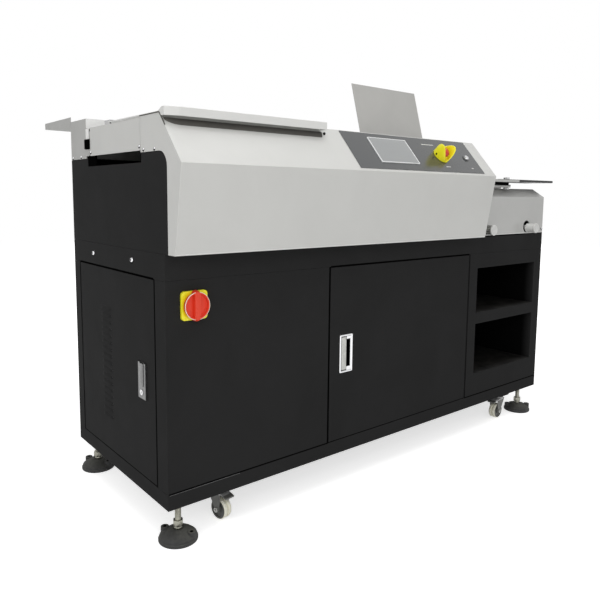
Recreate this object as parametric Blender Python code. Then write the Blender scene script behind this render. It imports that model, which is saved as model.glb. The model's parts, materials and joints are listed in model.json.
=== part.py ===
# Floor-standing thermal (hot-melt) binding machine: cabinet on casters and levelling feet,
# sloping hood with controls, book clamp carriage, milling cutter, glue tank and cover nip.
# Metres, +Z up. Sizes are taken from the left end (x), the cabinet's front face (y) and the
# floor (z); an empty carries everything, so that the origin is under the middle of the machine.
import math

import bmesh
import bpy
from mathutils import Matrix, Vector

# Cabinet
cabinet_length = 1.628
cabinet_depth = 0.584
floor_clearance = 0.097
base_height = 0.040
cabinet_height = 0.617
deck_height = 0.062
sheet = 0.002
seam = 0.003
fit_gap = 0.0003
running_gap = 0.0003
overrun = 0.010
weld = 0.001
merge_distance = 0.00001

# Hood
box_length = 0.460
hood_length = cabinet_length - box_length
hood_foot_y = -0.052
crease_y = -0.085
crease_height = 0.205
slope_angle = math.radians(48.6)
slope_length = 0.152
hood_rear_inset = 0.299
hood_rear_y = cabinet_depth - hood_rear_inset
hood_wall = 0.0025

# Upper works, heights above the deck
side_panel_height = 0.233
housing_height = 0.344
housing_depth = 0.1185
housing_front_y = cabinet_depth - housing_depth
book_line_gap = 0.0285
book_line_y = housing_front_y - book_line_gap
book_line_height = 0.340
clamp_height = 0.025
station_length = 0.488

# Right end
box_front_height = 0.137
box_top_height = 0.168
box_slope_depth = 0.050
table_height = 0.1715
table_reach = 0.082

# Feet and casters
foot_radius = 0.049
foot_inset_left = 0.042
foot_inset_right = 0.067
foot_inset_y = 0.032
caster_left_x = 0.1715
caster_right_inset = 0.205
caster_left_y = 0.064
caster_right_y = 0.029
wheel_radius = 0.0275
wheel_lift = 0.006

# Book rest and rear tray, which set the machine's highest and rearmost points
rest_lean = math.radians(15.6)
rest_height = 0.204
tray_depth = 0.236

# Levels and edges that follow
under_z = floor_clearance
base_top = under_z + base_height
deck_top = under_z + cabinet_height
deck_bottom = deck_top - deck_height
panel_bottom = base_top + fit_gap
panel_top = deck_bottom - fit_gap
on_deck = deck_top + fit_gap
crease_z = deck_top + crease_height
ridge_y = crease_y + slope_length * math.cos(slope_angle)
ridge_z = crease_z + slope_length * math.sin(slope_angle)
side_panel_top = deck_top + side_panel_height
housing_top = deck_top + housing_height
clamp_bottom = deck_top + book_line_height
clamp_top = clamp_bottom + clamp_height
tray_root_y = cabinet_depth + fit_gap
tray_rear_y = tray_root_y + tray_depth
table_tip = cabinet_length + table_reach
left_reach = foot_radius - foot_inset_left
centre_x = (table_tip - left_reach) / 2
centre_y = (tray_rear_y + crease_y) / 2

round_steps = 24
small_steps = 16
few_steps = 10
hole_steps = 8
corner_steps = 6
sharp_angle = math.radians(35)

finishes = {
    "black": ((0.030, 0.030, 0.031), 0.45, 0.0),
    "grey": ((0.60, 0.60, 0.58), 0.40, 0.0),
    "dark_grey": ((0.14, 0.15, 0.15), 0.35, 0.0),
    "screen": ((0.33, 0.34, 0.34), 0.20, 0.0),
    "zinc": ((0.55, 0.55, 0.53), 0.30, 1.0),
    "chrome": ((0.75, 0.75, 0.75), 0.12, 1.0),
    "steel": ((0.50, 0.50, 0.50), 0.28, 1.0),
    "aluminium": ((0.62, 0.62, 0.63), 0.40, 1.0),
    "yellow": ((0.85, 0.66, 0.03), 0.35, 0.0),
    "red": ((0.70, 0.04, 0.02), 0.30, 0.0),
    "cream": ((0.72, 0.70, 0.58), 0.35, 0.0),
    "white": ((0.78, 0.78, 0.74), 0.35, 0.0),
    "rubber": ((0.050, 0.050, 0.050), 0.70, 0.0),
}

for leftover in list(bpy.data.objects):
    bpy.data.objects.remove(leftover)

machine = bpy.data.objects.new("machine", None)
bpy.context.scene.collection.objects.link(machine)
machine.location = (-centre_x, -centre_y, 0)


# Shared modelling helpers

def finish_material(name, finish):
    colour, roughness, metallic = finishes[finish]
    material = bpy.data.materials.new(name + "_" + finish)
    material.use_nodes = True
    shader = material.node_tree.nodes["Principled BSDF"]
    shader.inputs["Base Color"].default_value = (*colour, 1)
    shader.inputs["Roughness"].default_value = roughness
    shader.inputs["Metallic"].default_value = metallic
    return material


def add_object(name, bm, finish=None):
    bmesh.ops.recalc_face_normals(bm, faces=bm.faces)
    mesh = bpy.data.meshes.new(name)
    bm.to_mesh(mesh)
    bm.free()
    piece = bpy.data.objects.new(name, mesh)
    bpy.context.scene.collection.objects.link(piece)
    piece.parent = machine
    if finish:
        mesh.materials.append(finish_material(name, finish))
    return piece


def spot(axis, along, a, b):
    if axis == "x":
        return (along, a, b)
    if axis == "y":
        return (a, along, b)
    return (a, b, along)


def prism(name, outline, axis, low, high, finish=None):
    # An outline across the axis, (y, z), (x, z) or (x, y), carried from low to high.
    bm = bmesh.new()
    lows = [bm.verts.new(spot(axis, low, a, b)) for a, b in outline]
    highs = [bm.verts.new(spot(axis, high, a, b)) for a, b in outline]
    bm.faces.new(lows)
    bm.faces.new(highs)
    for i in range(len(outline)):
        j = (i + 1) % len(outline)
        bm.faces.new((lows[i], lows[j], highs[j], highs[i]))
    return add_object(name, bm, finish)


def block(name, x0, x1, y0, y1, z0, z1, finish=None):
    outline = [(x0, y0), (x1, y0), (x1, y1), (x0, y1)]
    return prism(name, outline, "z", z0, z1, finish)


def turned(name, profile, axis, centre, steps, finish=None, bored=False):
    # A profile of (radius, place along the axis) turned about the axis through the centre.
    # A bored profile is a closed ring; any other starts and ends on the axis.
    bm = bmesh.new()
    a0, b0 = centre
    rings = []
    for radius, along in profile:
        if radius == 0:
            rings.append([bm.verts.new(spot(axis, along, a0, b0))])
            continue
        ring = []
        for k in range(steps):
            turn = 2 * math.pi * k / steps
            a = a0 + radius * math.cos(turn)
            b = b0 + radius * math.sin(turn)
            ring.append(bm.verts.new(spot(axis, along, a, b)))
        rings.append(ring)
    pairs = list(zip(rings, rings[1:]))
    if bored:
        pairs.append((rings[-1], rings[0]))
    for low, high in pairs:
        if len(low) == 1 and len(high) == 1:
            continue
        for k in range(steps):
            m = (k + 1) % steps
            if len(low) == 1:
                bm.faces.new((low[0], high[k], high[m]))
            elif len(high) == 1:
                bm.faces.new((low[k], low[m], high[0]))
            else:
                bm.faces.new((low[k], low[m], high[m], high[k]))
    piece = add_object(name, bm, finish)
    piece.data.shade_smooth()
    piece.data.set_sharp_from_angle(angle=sharp_angle)
    return piece


def rod(name, axis, centre, radius, low, high, steps=small_steps, finish=None):
    profile = [(0, low), (radius, low), (radius, high), (0, high)]
    return turned(name, profile, axis, centre, steps, finish)


def combine(piece, other, operation):
    other.hide_render = True
    other.display_type = "WIRE"
    change = piece.modifiers.new(other.name, "BOOLEAN")
    change.operation = operation
    change.solver = "EXACT"
    change.object = other
    return piece


def cut(piece, *cutters):
    for cutter in cutters:
        combine(piece, cutter, "DIFFERENCE")
    return piece


def join(piece, *others):
    for other in others:
        combine(piece, other, "UNION")
    return piece


def settle(piece):
    # Applies the cuts and joins, so that copies can share the finished mesh.
    view = bpy.context.view_layer
    view.update()
    ready = piece.evaluated_get(bpy.context.evaluated_depsgraph_get())
    mesh = bpy.data.meshes.new_from_object(ready)
    bm = bmesh.new()
    bm.from_mesh(mesh)
    bmesh.ops.remove_doubles(bm, verts=bm.verts, dist=merge_distance)
    bmesh.ops.dissolve_degenerate(bm, edges=bm.edges, dist=merge_distance)
    bmesh.ops.connect_verts_concave(bm, faces=bm.faces)
    bm.to_mesh(mesh)
    bm.free()
    helpers = [change.object for change in piece.modifiers]
    piece.modifiers.clear()
    piece.data = mesh
    for helper in helpers:
        bpy.data.objects.remove(helper)
    return piece


def pivot_at(piece, x, y, z):
    # Puts the piece's origin on its joint's axis without moving the piece.
    piece.data.transform(Matrix.Translation((-x, -y, -z)))
    piece.location = (x, y, z)
    return piece


def arc(cy, cz, radius, start, end, steps):
    # Points of a round corner about (cy, cz), angles in degrees.
    points = []
    for k in range(steps + 1):
        turn = math.radians(start + (end - start) * k / steps)
        points.append((cy + radius * math.cos(turn), cz + radius * math.sin(turn)))
    return points


def copy_of(piece, name, x, y, z, turn):
    twin = bpy.data.objects.new(name, piece.data)
    bpy.context.scene.collection.objects.link(twin)
    twin.parent = machine
    twin.location = (x, y, z)
    twin.rotation_euler = (0, 0, turn)
    return twin


# Door pivots: a pin below and above each door, near its hinge corner

door_flange = 0.016
door_wall = 0.0015
door_pin_inset = 0.005
door_pin_radius = 0.002
door_collar_radius = 0.004
door_pin_reach = 0.003
door_lug_thickness = 0.004
left_panel_width = 0.510
bay_length = 0.470
bay_start = cabinet_length - bay_length
post_width = 0.057
rear_post_width = 0.047
door_pivots = {
    "middle": (bay_start - seam / 2 - door_pin_inset, door_pin_inset),
    "left": (door_pin_inset, cabinet_depth - rear_post_width - seam / 2 - door_pin_inset),
}


def lower_pin(name, centre):
    # The collar carries the door and the pin stands in its lower flange.
    root = base_top - weld
    rest = base_top + seam - fit_gap
    tip = base_top + seam + door_wall + door_pin_reach
    profile = [
        (0, root), (door_collar_radius, root), (door_collar_radius, rest),
        (door_pin_radius, rest), (door_pin_radius, tip), (0, tip),
    ]
    return turned(name, profile, "z", centre, small_steps)


def pin_holes(name, centre):
    return rod(name, "z", centre, door_pin_radius + running_gap, base_top - overrun,
               deck_bottom + overrun)


# Base frame: a pan with four corner blocks, and the casters' plates welded below it

base_wall = 0.003
corner_block_depth = 0.100
corner_block_left = 0.235
corner_block_right = 0.290
caster_plate_size = 0.054
caster_plate_thickness = 0.005
race_radius = 0.019
race_height = 0.006
caster_bolt_radius = 0.006
caster_bolt_height = 0.007
caster_bolt_aside = 0.043
caster_bolt_y = 0.018
caster_right_x = cabinet_length - caster_right_inset
caster_places = {
    "front_left": (caster_left_x, caster_left_y, math.radians(10)),
    "front_right": (caster_right_x, caster_right_y, math.radians(-87)),
    "rear_left": (caster_left_x, cabinet_depth - caster_left_y, math.radians(158)),
    "rear_right": (caster_right_x, cabinet_depth - caster_left_y, math.radians(205)),
}


def make_base_frame():
    frame = block("base_frame", 0, cabinet_length, 0, cabinet_depth, under_z, base_top, "black")
    low = under_z - overrun
    high = base_top - sheet
    cut(frame, block("base_pocket_long", base_wall, cabinet_length - base_wall,
                     corner_block_depth, cabinet_depth - corner_block_depth, low, high))
    cut(frame, block("base_pocket_middle", corner_block_left, cabinet_length - corner_block_right,
                     base_wall, cabinet_depth - base_wall, low, high))
    half = caster_plate_size / 2
    plate_z = under_z - caster_plate_thickness
    for place, (x, y, turn) in caster_places.items():
        plate = block("plate_" + place, x - half, x + half, y - half, y + half,
                      plate_z, under_z + weld)
        race = rod("race_" + place, "z", (x, y), race_radius,
                   plate_z - race_height, plate_z + weld)
        bolt_y = caster_bolt_y if y < cabinet_depth / 2 else cabinet_depth - caster_bolt_y
        bolt = rod("bolt_" + place, "z", (x + caster_bolt_aside, bolt_y), caster_bolt_radius,
                   under_z - caster_bolt_height, under_z + weld)
        join(frame, plate, race, bolt)
    for place, centre in door_pivots.items():
        join(frame, lower_pin("lower_pin_" + place, centre))
    settle(frame)


# Levelling feet: rubber-soled disc, threaded stem and lock nut

foot_sole = 0.008
foot_shoulder_height = 0.014
foot_shoulder_inset = 0.003
foot_dome_radius = 0.034
foot_dome_height = 0.023
foot_neck_radius = 0.013
foot_neck_height = 0.029
stem_radius = 0.008
nut_radius = 0.0135
nut_bottom = 0.036
nut_height = 0.016
lug_radius = 0.0105
lug_height = 0.027
lug_reach = 0.0375
foot_turns = {
    "front_left": math.radians(-65),
    "front_right": math.radians(-50),
    "rear_left": math.radians(-70),
    "rear_right": math.radians(20),
}
lug_hole_radius = 0.0045
nut_sides = 6


def make_feet():
    stem_top = under_z - fit_gap
    profile = [
        (0, 0), (foot_radius, 0), (foot_radius, foot_sole),
        (foot_radius - foot_shoulder_inset, foot_shoulder_height),
        (foot_dome_radius, foot_dome_height), (foot_neck_radius, foot_neck_height),
        (stem_radius, foot_neck_height), (stem_radius, stem_top), (0, stem_top),
    ]
    first = turned("levelling_foot_front_left", profile, "z", (0, 0), round_steps, "rubber")
    join(first, rod("foot_nut", "z", (0, 0), nut_radius, nut_bottom, nut_bottom + nut_height,
                    nut_sides))
    # Half a step round, the lugs' edges keep clear of the disc's own.
    aside = math.pi / round_steps
    centres = []
    for turn in (aside, math.pi + aside):
        centres.append((lug_reach * math.cos(turn), lug_reach * math.sin(turn)))
    for centre in centres:
        join(first, rod("foot_lug", "z", centre, lug_radius, foot_sole / 2, lug_height))
    for centre in centres:
        cut(first, rod("foot_hole", "z", centre, lug_hole_radius, -overrun,
                       lug_height + overrun, hole_steps))
    settle(first)
    left, right = foot_inset_left, cabinet_length - foot_inset_right
    front, rear = foot_inset_y, cabinet_depth - foot_inset_y
    turns = foot_turns
    first.location = (left, front, 0)
    first.rotation_euler = (0, 0, turns["front_left"])
    copy_of(first, "levelling_foot_front_right", right, front, 0, turns["front_right"])
    copy_of(first, "levelling_foot_rear_left", left, rear, 0, turns["rear_left"])
    copy_of(first, "levelling_foot_rear_right", right, rear, 0, turns["rear_right"])


# Casters: swivel fork with axle and brake tab, and a grooved wheel on the axle

caster_trail = 0.020
fork_crown_radius = 0.018
fork_crown_height = 0.010
fork_plate_height = 0.004
fork_leg_inner = 0.0145
fork_leg_thickness = 0.0025
fork_leg_foot = 0.008
fork_rear_reach = 0.014
fork_front_reach = 0.032
axle_radius = 0.004
axle_head = 0.005
brake_tab_length = 0.022
brake_tab_drop = 0.007
wheel_half_width = 0.0134
hub_radius = 0.010
groove_half_width = 0.0015
groove_depth = 0.003
tread_round = 0.003
fork_top_z = under_z - caster_plate_thickness - race_height - fit_gap
axle_z = wheel_lift + wheel_radius
axle_drop = fork_top_z - axle_z


def make_fork():
    leg_outer = fork_leg_inner + fork_leg_thickness
    plate_top = -fork_crown_height + fork_plate_height
    fork = block("caster_fork_front_left", -leg_outer, leg_outer, -fork_front_reach,
                 fork_rear_reach, -fork_crown_height, plate_top, "zinc")
    join(fork, rod("fork_crown", "z", (0, 0), fork_crown_radius, plate_top - weld, 0))
    leg = [
        (fork_rear_reach, plate_top - weld), (-fork_front_reach, plate_top - weld),
        (-fork_front_reach, -axle_drop / 2), (-caster_trail - fork_leg_foot, -axle_drop),
        (-caster_trail, -axle_drop - fork_leg_foot), (-caster_trail + fork_leg_foot, -axle_drop),
    ]
    join(fork, prism("fork_leg_left", leg, "x", -leg_outer, -fork_leg_inner))
    join(fork, prism("fork_leg_right", leg, "x", fork_leg_inner, leg_outer))
    head = leg_outer + axle_head
    join(fork, rod("fork_axle", "x", (-caster_trail, -axle_drop), axle_radius, -head, head,
                   few_steps))
    tab_root = -fork_front_reach + weld
    tab_tip = -fork_front_reach - brake_tab_length
    tab = [
        (tab_root, plate_top), (tab_root, -fork_crown_height),
        (tab_tip, -fork_crown_height - brake_tab_drop), (tab_tip, plate_top - brake_tab_drop),
    ]
    join(fork, prism("fork_brake_tab", tab, "x", -fork_leg_inner, fork_leg_inner))
    return settle(fork)


def make_wheel():
    bore = axle_radius + running_gap
    hub_half = fork_leg_inner - fit_gap
    side = wheel_half_width
    profile = [
        (bore, -hub_half), (hub_radius, -hub_half), (hub_radius, -side),
        (wheel_radius - tread_round, -side), (wheel_radius, -side + tread_round),
        (wheel_radius, -groove_half_width), (wheel_radius - groove_depth, -groove_half_width),
        (wheel_radius - groove_depth, groove_half_width), (wheel_radius, groove_half_width),
        (wheel_radius, side - tread_round), (wheel_radius - tread_round, side),
        (hub_radius, side), (hub_radius, hub_half), (bore, hub_half),
    ]
    return turned("caster_wheel_front_left", profile, "x", (0, 0), round_steps, "cream", True)


def make_casters():
    fork = make_fork()
    wheel = make_wheel()
    for place, (x, y, turn) in caster_places.items():
        wheel_x = x + caster_trail * math.sin(turn)
        wheel_y = y - caster_trail * math.cos(turn)
        if place == "front_left":
            fork.location = (x, y, fork_top_z)
            fork.rotation_euler = (0, 0, turn)
            wheel.location = (wheel_x, wheel_y, axle_z)
            wheel.rotation_euler = (0, 0, turn)
            continue
        copy_of(fork, "caster_fork_" + place, x, y, fork_top_z, turn)
        copy_of(wheel, "caster_wheel_" + place, wheel_x, wheel_y, axle_z, turn)


# Cabinet walls and doors

louvre_count = 17
louvre_first_z = 0.138
louvre_last_drop = 0.113
louvre_rear_inset = 0.201
louvre_width = 0.065
louvre_height = 0.004
louvre_front_y = cabinet_depth - louvre_rear_inset - louvre_width
louvre_last_z = cabinet_height - deck_height - louvre_last_drop
louvre_pitch = (louvre_last_z - louvre_first_z) / (louvre_count - 1)

pull_inset = 0.039
pull_left_x = left_panel_width + pull_inset
pull_width = 0.051
pull_bottom_z = 0.241
pull_height = 0.113
pull_rim = 0.006
pull_proud = 0.0022
pull_depth = 0.013
pull_wall = 0.0015
latch_share = 0.52
latch_thickness = 0.003
latch_set_back = 0.001

lock_front_y = 0.104
lock_width = 0.040
lock_bottom_z = 0.247
lock_height = 0.092
lock_proud = 0.004
lock_boss_depth = 0.014
lock_boss_share = 0.6
lock_handle_width_share = 0.5
lock_handle_bottom_share = 0.36
lock_handle_gap = 0.001
lock_handle_thickness = 0.006


def make_front_left_panel():
    outline = [
        (0, 0), (left_panel_width - seam / 2, 0), (left_panel_width - seam / 2, sheet),
        (sheet, sheet), (sheet, post_width - seam / 2), (0, post_width - seam / 2),
    ]
    panel = prism("front_left_panel", outline, "z", panel_bottom, panel_top, "black")
    hole = rod("switch_hole", "y", (switch_x, switch_z), switch_neck_radius + fit_gap,
               -overrun, overrun, round_steps)
    cut(panel, hole)


def door_pan(name, x0, x1, y0, y1, z0, z1, open_side):
    # A sheet-metal door skin with folded edges, open on its inner side.
    door = block(name, x0, x1, y0, y1, z0, z1, "black")
    if open_side == "+y":
        inside = block(name + "_inside", x0 + door_wall, x1 - door_wall, y0 + door_wall,
                       y1 + overrun, z0 + door_wall, z1 - door_wall)
    else:
        inside = block(name + "_inside", x0 + door_wall, x1 + overrun, y0 + door_wall,
                       y1 - door_wall, z0 + door_wall, z1 - door_wall)
    return cut(door, inside)


def make_middle_door():
    right_edge = bay_start - seam / 2
    low = base_top + seam
    high = deck_bottom - seam
    door = door_pan("middle_door", left_panel_width + seam / 2, right_edge, 0, door_flange,
                    low, high, "+y")
    x0 = pull_left_x + pull_rim - fit_gap
    x1 = pull_left_x + pull_width - pull_rim + fit_gap
    z0 = under_z + pull_bottom_z + pull_rim - fit_gap
    z1 = under_z + pull_bottom_z + pull_height - pull_rim + fit_gap
    cut(door, block("pull_hole", x0, x1, -overrun, overrun, z0, z1))
    cut(door, pin_holes("middle_door_pin_holes", door_pivots["middle"]))
    settle(door)
    pivot_at(door, *door_pivots["middle"], low)


def make_door_pull():
    x0, x1 = pull_left_x, pull_left_x + pull_width
    z0 = under_z + pull_bottom_z
    z1 = z0 + pull_height
    pull = block("door_pull", x0, x1, -pull_proud - fit_gap, -fit_gap, z0, z1, "chrome")
    well = block("pull_well", x0 + pull_rim, x1 - pull_rim, -fit_gap - weld, pull_depth,
                 z0 + pull_rim, z1 - pull_rim)
    join(pull, well)
    inner = pull_rim + pull_wall
    hollow = block("pull_hollow", x0 + inner, x1 - inner, -overrun,
                   pull_depth - pull_wall, z0 + inner, z1 - inner)
    cut(pull, hollow)
    settle(pull)
    latch_x0 = x0 + inner + fit_gap
    latch_x1 = latch_x0 + (x1 - x0 - 2 * inner) * latch_share
    front = -pull_proud + latch_set_back
    latch = block("door_latch", latch_x0, latch_x1, front, front + latch_thickness,
                  z0 + inner + fit_gap, z1 - inner - fit_gap, "chrome")
    pivot_at(latch, latch_x0, front, z0 + inner + fit_gap)


def make_left_door():
    low = base_top + seam
    high = deck_bottom - seam
    front = post_width + seam / 2
    rear = cabinet_depth - rear_post_width - seam / 2
    door = door_pan("left_door", 0, door_flange, front, rear, low, high, "+x")
    for k in range(louvre_count):
        z = under_z + louvre_first_z + k * louvre_pitch
        slot = block("louvre_%02d" % k, -overrun, overrun, louvre_front_y,
                     louvre_front_y + louvre_width, z, z + louvre_height)
        cut(door, slot)
    boss_half = lock_width * lock_boss_share / 2
    middle = lock_front_y + lock_width / 2
    z0 = under_z + lock_bottom_z
    hole = block("lock_hole", -overrun, overrun, middle - boss_half - fit_gap,
                 middle + boss_half + fit_gap, z0 + lock_height * (1 - lock_boss_share) - fit_gap,
                 z0 + lock_height * lock_boss_share + fit_gap)
    cut(door, hole)
    cut(door, pin_holes("left_door_pin_holes", door_pivots["left"]))
    settle(door)
    pivot_at(door, *door_pivots["left"], low)


def make_left_lock():
    middle = lock_front_y + lock_width / 2
    boss_half = lock_width * lock_boss_share / 2
    z0 = under_z + lock_bottom_z
    z1 = z0 + lock_height
    body = block("left_lock_body", -lock_proud - fit_gap, -fit_gap, lock_front_y,
                 lock_front_y + lock_width, z0, z1, "zinc")
    boss = block("lock_boss", -fit_gap - weld, lock_boss_depth, middle - boss_half,
                 middle + boss_half, z0 + lock_height * (1 - lock_boss_share),
                 z0 + lock_height * lock_boss_share)
    join(body, boss)
    half = lock_width * lock_handle_width_share / 2
    bottom = z0 + lock_height * lock_handle_bottom_share
    top = z1 - lock_handle_gap
    back = -lock_proud + lock_handle_thickness / 2
    trough = block("lock_trough", -lock_proud - overrun, back + fit_gap,
                   middle - half - fit_gap, middle + half + fit_gap, bottom - fit_gap,
                   z1 + overrun)
    cut(body, trough)
    settle(body)
    handle = block("left_lock_handle", back - lock_handle_thickness, back - 2 * fit_gap,
                   middle - half, middle + half, bottom, top, "zinc")
    pivot_at(handle, back - lock_handle_thickness, middle, top)


# Shelf bay at the right of the cabinet: front frame with two shelf boxes

shelf_left_inset = 0.051
shelf_right_inset = 0.048
shelf_rear_inset = 0.084
shelf_sill = 0.081
shelf_divider = 0.040
shelf_head = 0.052
lower_shelf_share = 91 / 171
shelf_wall = 0.0015
shelf_left_x = bay_start + shelf_left_inset
shelf_right_x = cabinet_length - shelf_right_inset
shelf_depth = cabinet_depth - shelf_rear_inset
shelf_room = deck_bottom - base_top - shelf_sill - shelf_divider - shelf_head
lower_shelf_z = base_top + shelf_sill
lower_shelf_top = lower_shelf_z + shelf_room * lower_shelf_share
upper_shelf_z = lower_shelf_top + shelf_divider
upper_shelf_top = deck_bottom - shelf_head


def make_shelf_bay():
    x0 = bay_start + seam / 2
    bay = block("shelf_bay", x0, cabinet_length, 0, sheet, panel_bottom, panel_top, "black")
    # A fold down the left edge stiffens the frame.
    join(bay, block("bay_fold", x0, x0 + sheet, sheet - weld, door_flange, panel_bottom,
                    panel_top))
    shelves = ((lower_shelf_z, lower_shelf_top), (upper_shelf_z, upper_shelf_top))
    for k, (z0, z1) in enumerate(shelves):
        liner = block("liner_%d" % k, shelf_left_x - shelf_wall, shelf_right_x + shelf_wall,
                      sheet - weld, shelf_depth, z0 - shelf_wall, z1 + shelf_wall)
        join(bay, liner)
        hollow = block("shelf_%d" % k, shelf_left_x, shelf_right_x, -overrun,
                       shelf_depth - shelf_wall, z0, z1)
        cut(bay, hollow)
    settle(bay)


def make_end_and_rear_panels():
    rear_edge = cabinet_depth - sheet - fit_gap
    block("right_end_panel", cabinet_length - sheet, cabinet_length, sheet + fit_gap, rear_edge,
          panel_bottom, panel_top, "black")
    post = cabinet_depth - rear_post_width + seam / 2
    outline = [
        (0, cabinet_depth), (0, post), (sheet, post), (sheet, cabinet_depth - sheet),
        (cabinet_length, cabinet_depth - sheet), (cabinet_length, cabinet_depth),
    ]
    prism("rear_panel", outline, "z", panel_bottom, panel_top, "black")


# Deck: inverted pan over the cabinet, with the blocks that hold the rods and the knob shafts

deck_plate = 0.003
pedestal_inset = 0.028
pedestal_x = cabinet_length - pedestal_inset
pedestal_thickness = 0.010
pedestal_half_width = 0.026
rod_rear_inset = 0.084
rod_y = cabinet_depth - rod_rear_inset
rod_radius = 0.008
screw_radius = 0.007
rod_low_height = 0.083
rod_high_height = 0.183
screw_height = 0.133
pedestal_margin = 0.020
left_knob_inset = 0.070
right_knob_inset = 0.116
knob_places = {
    "knob_left": hood_length + left_knob_inset,
    "knob_right": cabinet_length - right_knob_inset,
}
knob_height = 0.0215
knob_block_front = 0.030
knob_block_depth = 0.014
knob_block_half = 0.016
knob_shaft_radius = 0.005


def make_deck():
    deck = block("cabinet_deck", 0, cabinet_length, 0, cabinet_depth, deck_bottom, deck_top, "black")
    cut(deck, block("deck_inside", sheet, cabinet_length - sheet, sheet, cabinet_depth - sheet,
                    deck_bottom - overrun, deck_top - deck_plate))
    # Lugs behind the deck's skirt hold the doors' upper pins.
    half = door_collar_radius
    tip = deck_bottom - seam - door_wall - door_pin_reach
    for place, (x, y) in door_pivots.items():
        lug = block("upper_lug_" + place, x - half, x + half, y - half, y + half, deck_bottom,
                    deck_bottom + door_lug_thickness)
        pin = rod("upper_pin_" + place, "z", (x, y), door_pin_radius, tip, deck_bottom + weld)
        join(deck, lug, pin)
    pedestal_top = deck_top + rod_high_height + pedestal_margin
    join(deck, block("rod_pedestal", pedestal_x, pedestal_x + pedestal_thickness,
                     rod_y - pedestal_half_width, rod_y + pedestal_half_width,
                     deck_top - weld, pedestal_top))
    for name, x in knob_places.items():
        join(deck, block(name + "_block", x - knob_block_half, x + knob_block_half,
                         knob_block_front, knob_block_front + knob_block_depth,
                         deck_top - weld, deck_top + knob_height + knob_block_half))
    for height, radius in ((rod_low_height, rod_radius), (rod_high_height, rod_radius),
                           (screw_height, screw_radius)):
        cut(deck, rod("pedestal_hole", "x", (rod_y, deck_top + height), radius + running_gap,
                      pedestal_x - overrun, pedestal_x + pedestal_thickness + overrun))
    for name, x in knob_places.items():
        cut(deck, rod(name + "_hole", "y", (x, deck_top + knob_height),
                      knob_shaft_radius + running_gap, knob_block_front - overrun,
                      knob_block_front + knob_block_depth + overrun))
    settle(deck)


# Main switch on the front left panel

switch_x = 0.0725
switch_drop = 0.061
switch_z = deck_bottom - switch_drop
switch_plate = 0.0695
switch_plate_thickness = 0.008
switch_neck_radius = 0.011
switch_body_size = 0.048
switch_body_depth = 0.040
switch_shaft_radius = 0.006
switch_shaft_length = 0.008
switch_ring_radius = 0.0325
switch_ring_wall = 0.0035
switch_ring_depth = 0.012
switch_grip_width = 0.015
switch_grip_length = 0.074
switch_grip_height = 0.016


def make_switch():
    half = switch_plate / 2
    front = -switch_plate_thickness - fit_gap
    body = block("switch_body", switch_x - half, switch_x + half, front, -fit_gap,
                 switch_z - half, switch_z + half, "yellow")
    back = sheet + fit_gap
    join(body, rod("switch_neck", "y", (switch_x, switch_z), switch_neck_radius,
                   -fit_gap - weld, back + weld, small_steps))
    size = switch_body_size / 2
    join(body, block("switch_contacts", switch_x - size, switch_x + size, back,
                     back + switch_body_depth, switch_z - size, switch_z + size))
    join(body, rod("switch_shaft", "y", (switch_x, switch_z), switch_shaft_radius,
                   front - switch_shaft_length, front + weld, small_steps))
    settle(body)
    # The handle is a ring with a grip across it, on the switch's shaft.
    back = front - fit_gap
    ring_front = back - switch_ring_depth
    inner = switch_ring_radius - switch_ring_wall
    profile = [
        (inner, back), (switch_ring_radius, back), (switch_ring_radius, ring_front),
        (inner, ring_front),
    ]
    handle = turned("switch_handle", profile, "y", (switch_x, switch_z), round_steps, "red", True)
    wide = switch_grip_width / 2
    long = switch_grip_length / 2
    grip_back = back - fit_gap
    join(handle, block("switch_grip", switch_x - wide, switch_x + wide,
                       grip_back - switch_grip_height, grip_back, switch_z - long,
                       switch_z + long))
    cut(handle, rod("grip_bore", "y", (switch_x, switch_z), switch_shaft_radius + running_gap,
                    front - switch_shaft_length - fit_gap, overrun))
    settle(handle)
    pivot_at(handle, switch_x, back, switch_z)


# Black side panel and inner frames of the upper works

side_panel_front = -0.017
side_corner = 0.035
slot_front = 0.112
slot_rear_gap = 0.0105
slot_rear = housing_front_y - slot_rear_gap
slot_depth = 0.022
frame_plate = 0.005
frame_front = 0.032
frame_top_gap = 0.002
window_margin = 0.060
window_low = 0.060
hinge_block_depth = 0.029
hinge_block_front = housing_front_y - hinge_block_depth
hinge_block_low = 0.259
hinge_block_high = 0.287
mid_frame_front = 0.020


def make_side_panel():
    top = side_panel_top
    corner = arc(side_panel_front + side_corner, top - side_corner, side_corner, 180, 90,
                 corner_steps)
    outline = [(side_panel_front, on_deck)] + corner + [
        (slot_front, top), (slot_front, top - slot_depth), (slot_rear, top - slot_depth),
        (slot_rear, top), (cabinet_depth, top), (cabinet_depth, on_deck),
    ]
    prism("left_upper_panel", outline, "x", 0, sheet, "black")


def make_end_frame_left():
    x0 = hood_wall + fit_gap
    x1 = x0 + frame_plate
    top = ridge_z - hood_wall - frame_top_gap
    rear = housing_front_y - fit_gap
    frame = block("end_frame_left", x0, x1, frame_front, rear, on_deck, top, "black")
    cut(frame, block("end_frame_window", x0 - overrun, x1 + overrun, frame_front + window_margin,
                     rear - window_margin, deck_top + window_low, top - window_margin))
    join(frame, block("hinge_block", 0, x0 + weld, hinge_block_front, rear,
                      deck_top + hinge_block_low, deck_top + hinge_block_high))
    settle(frame)


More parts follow.
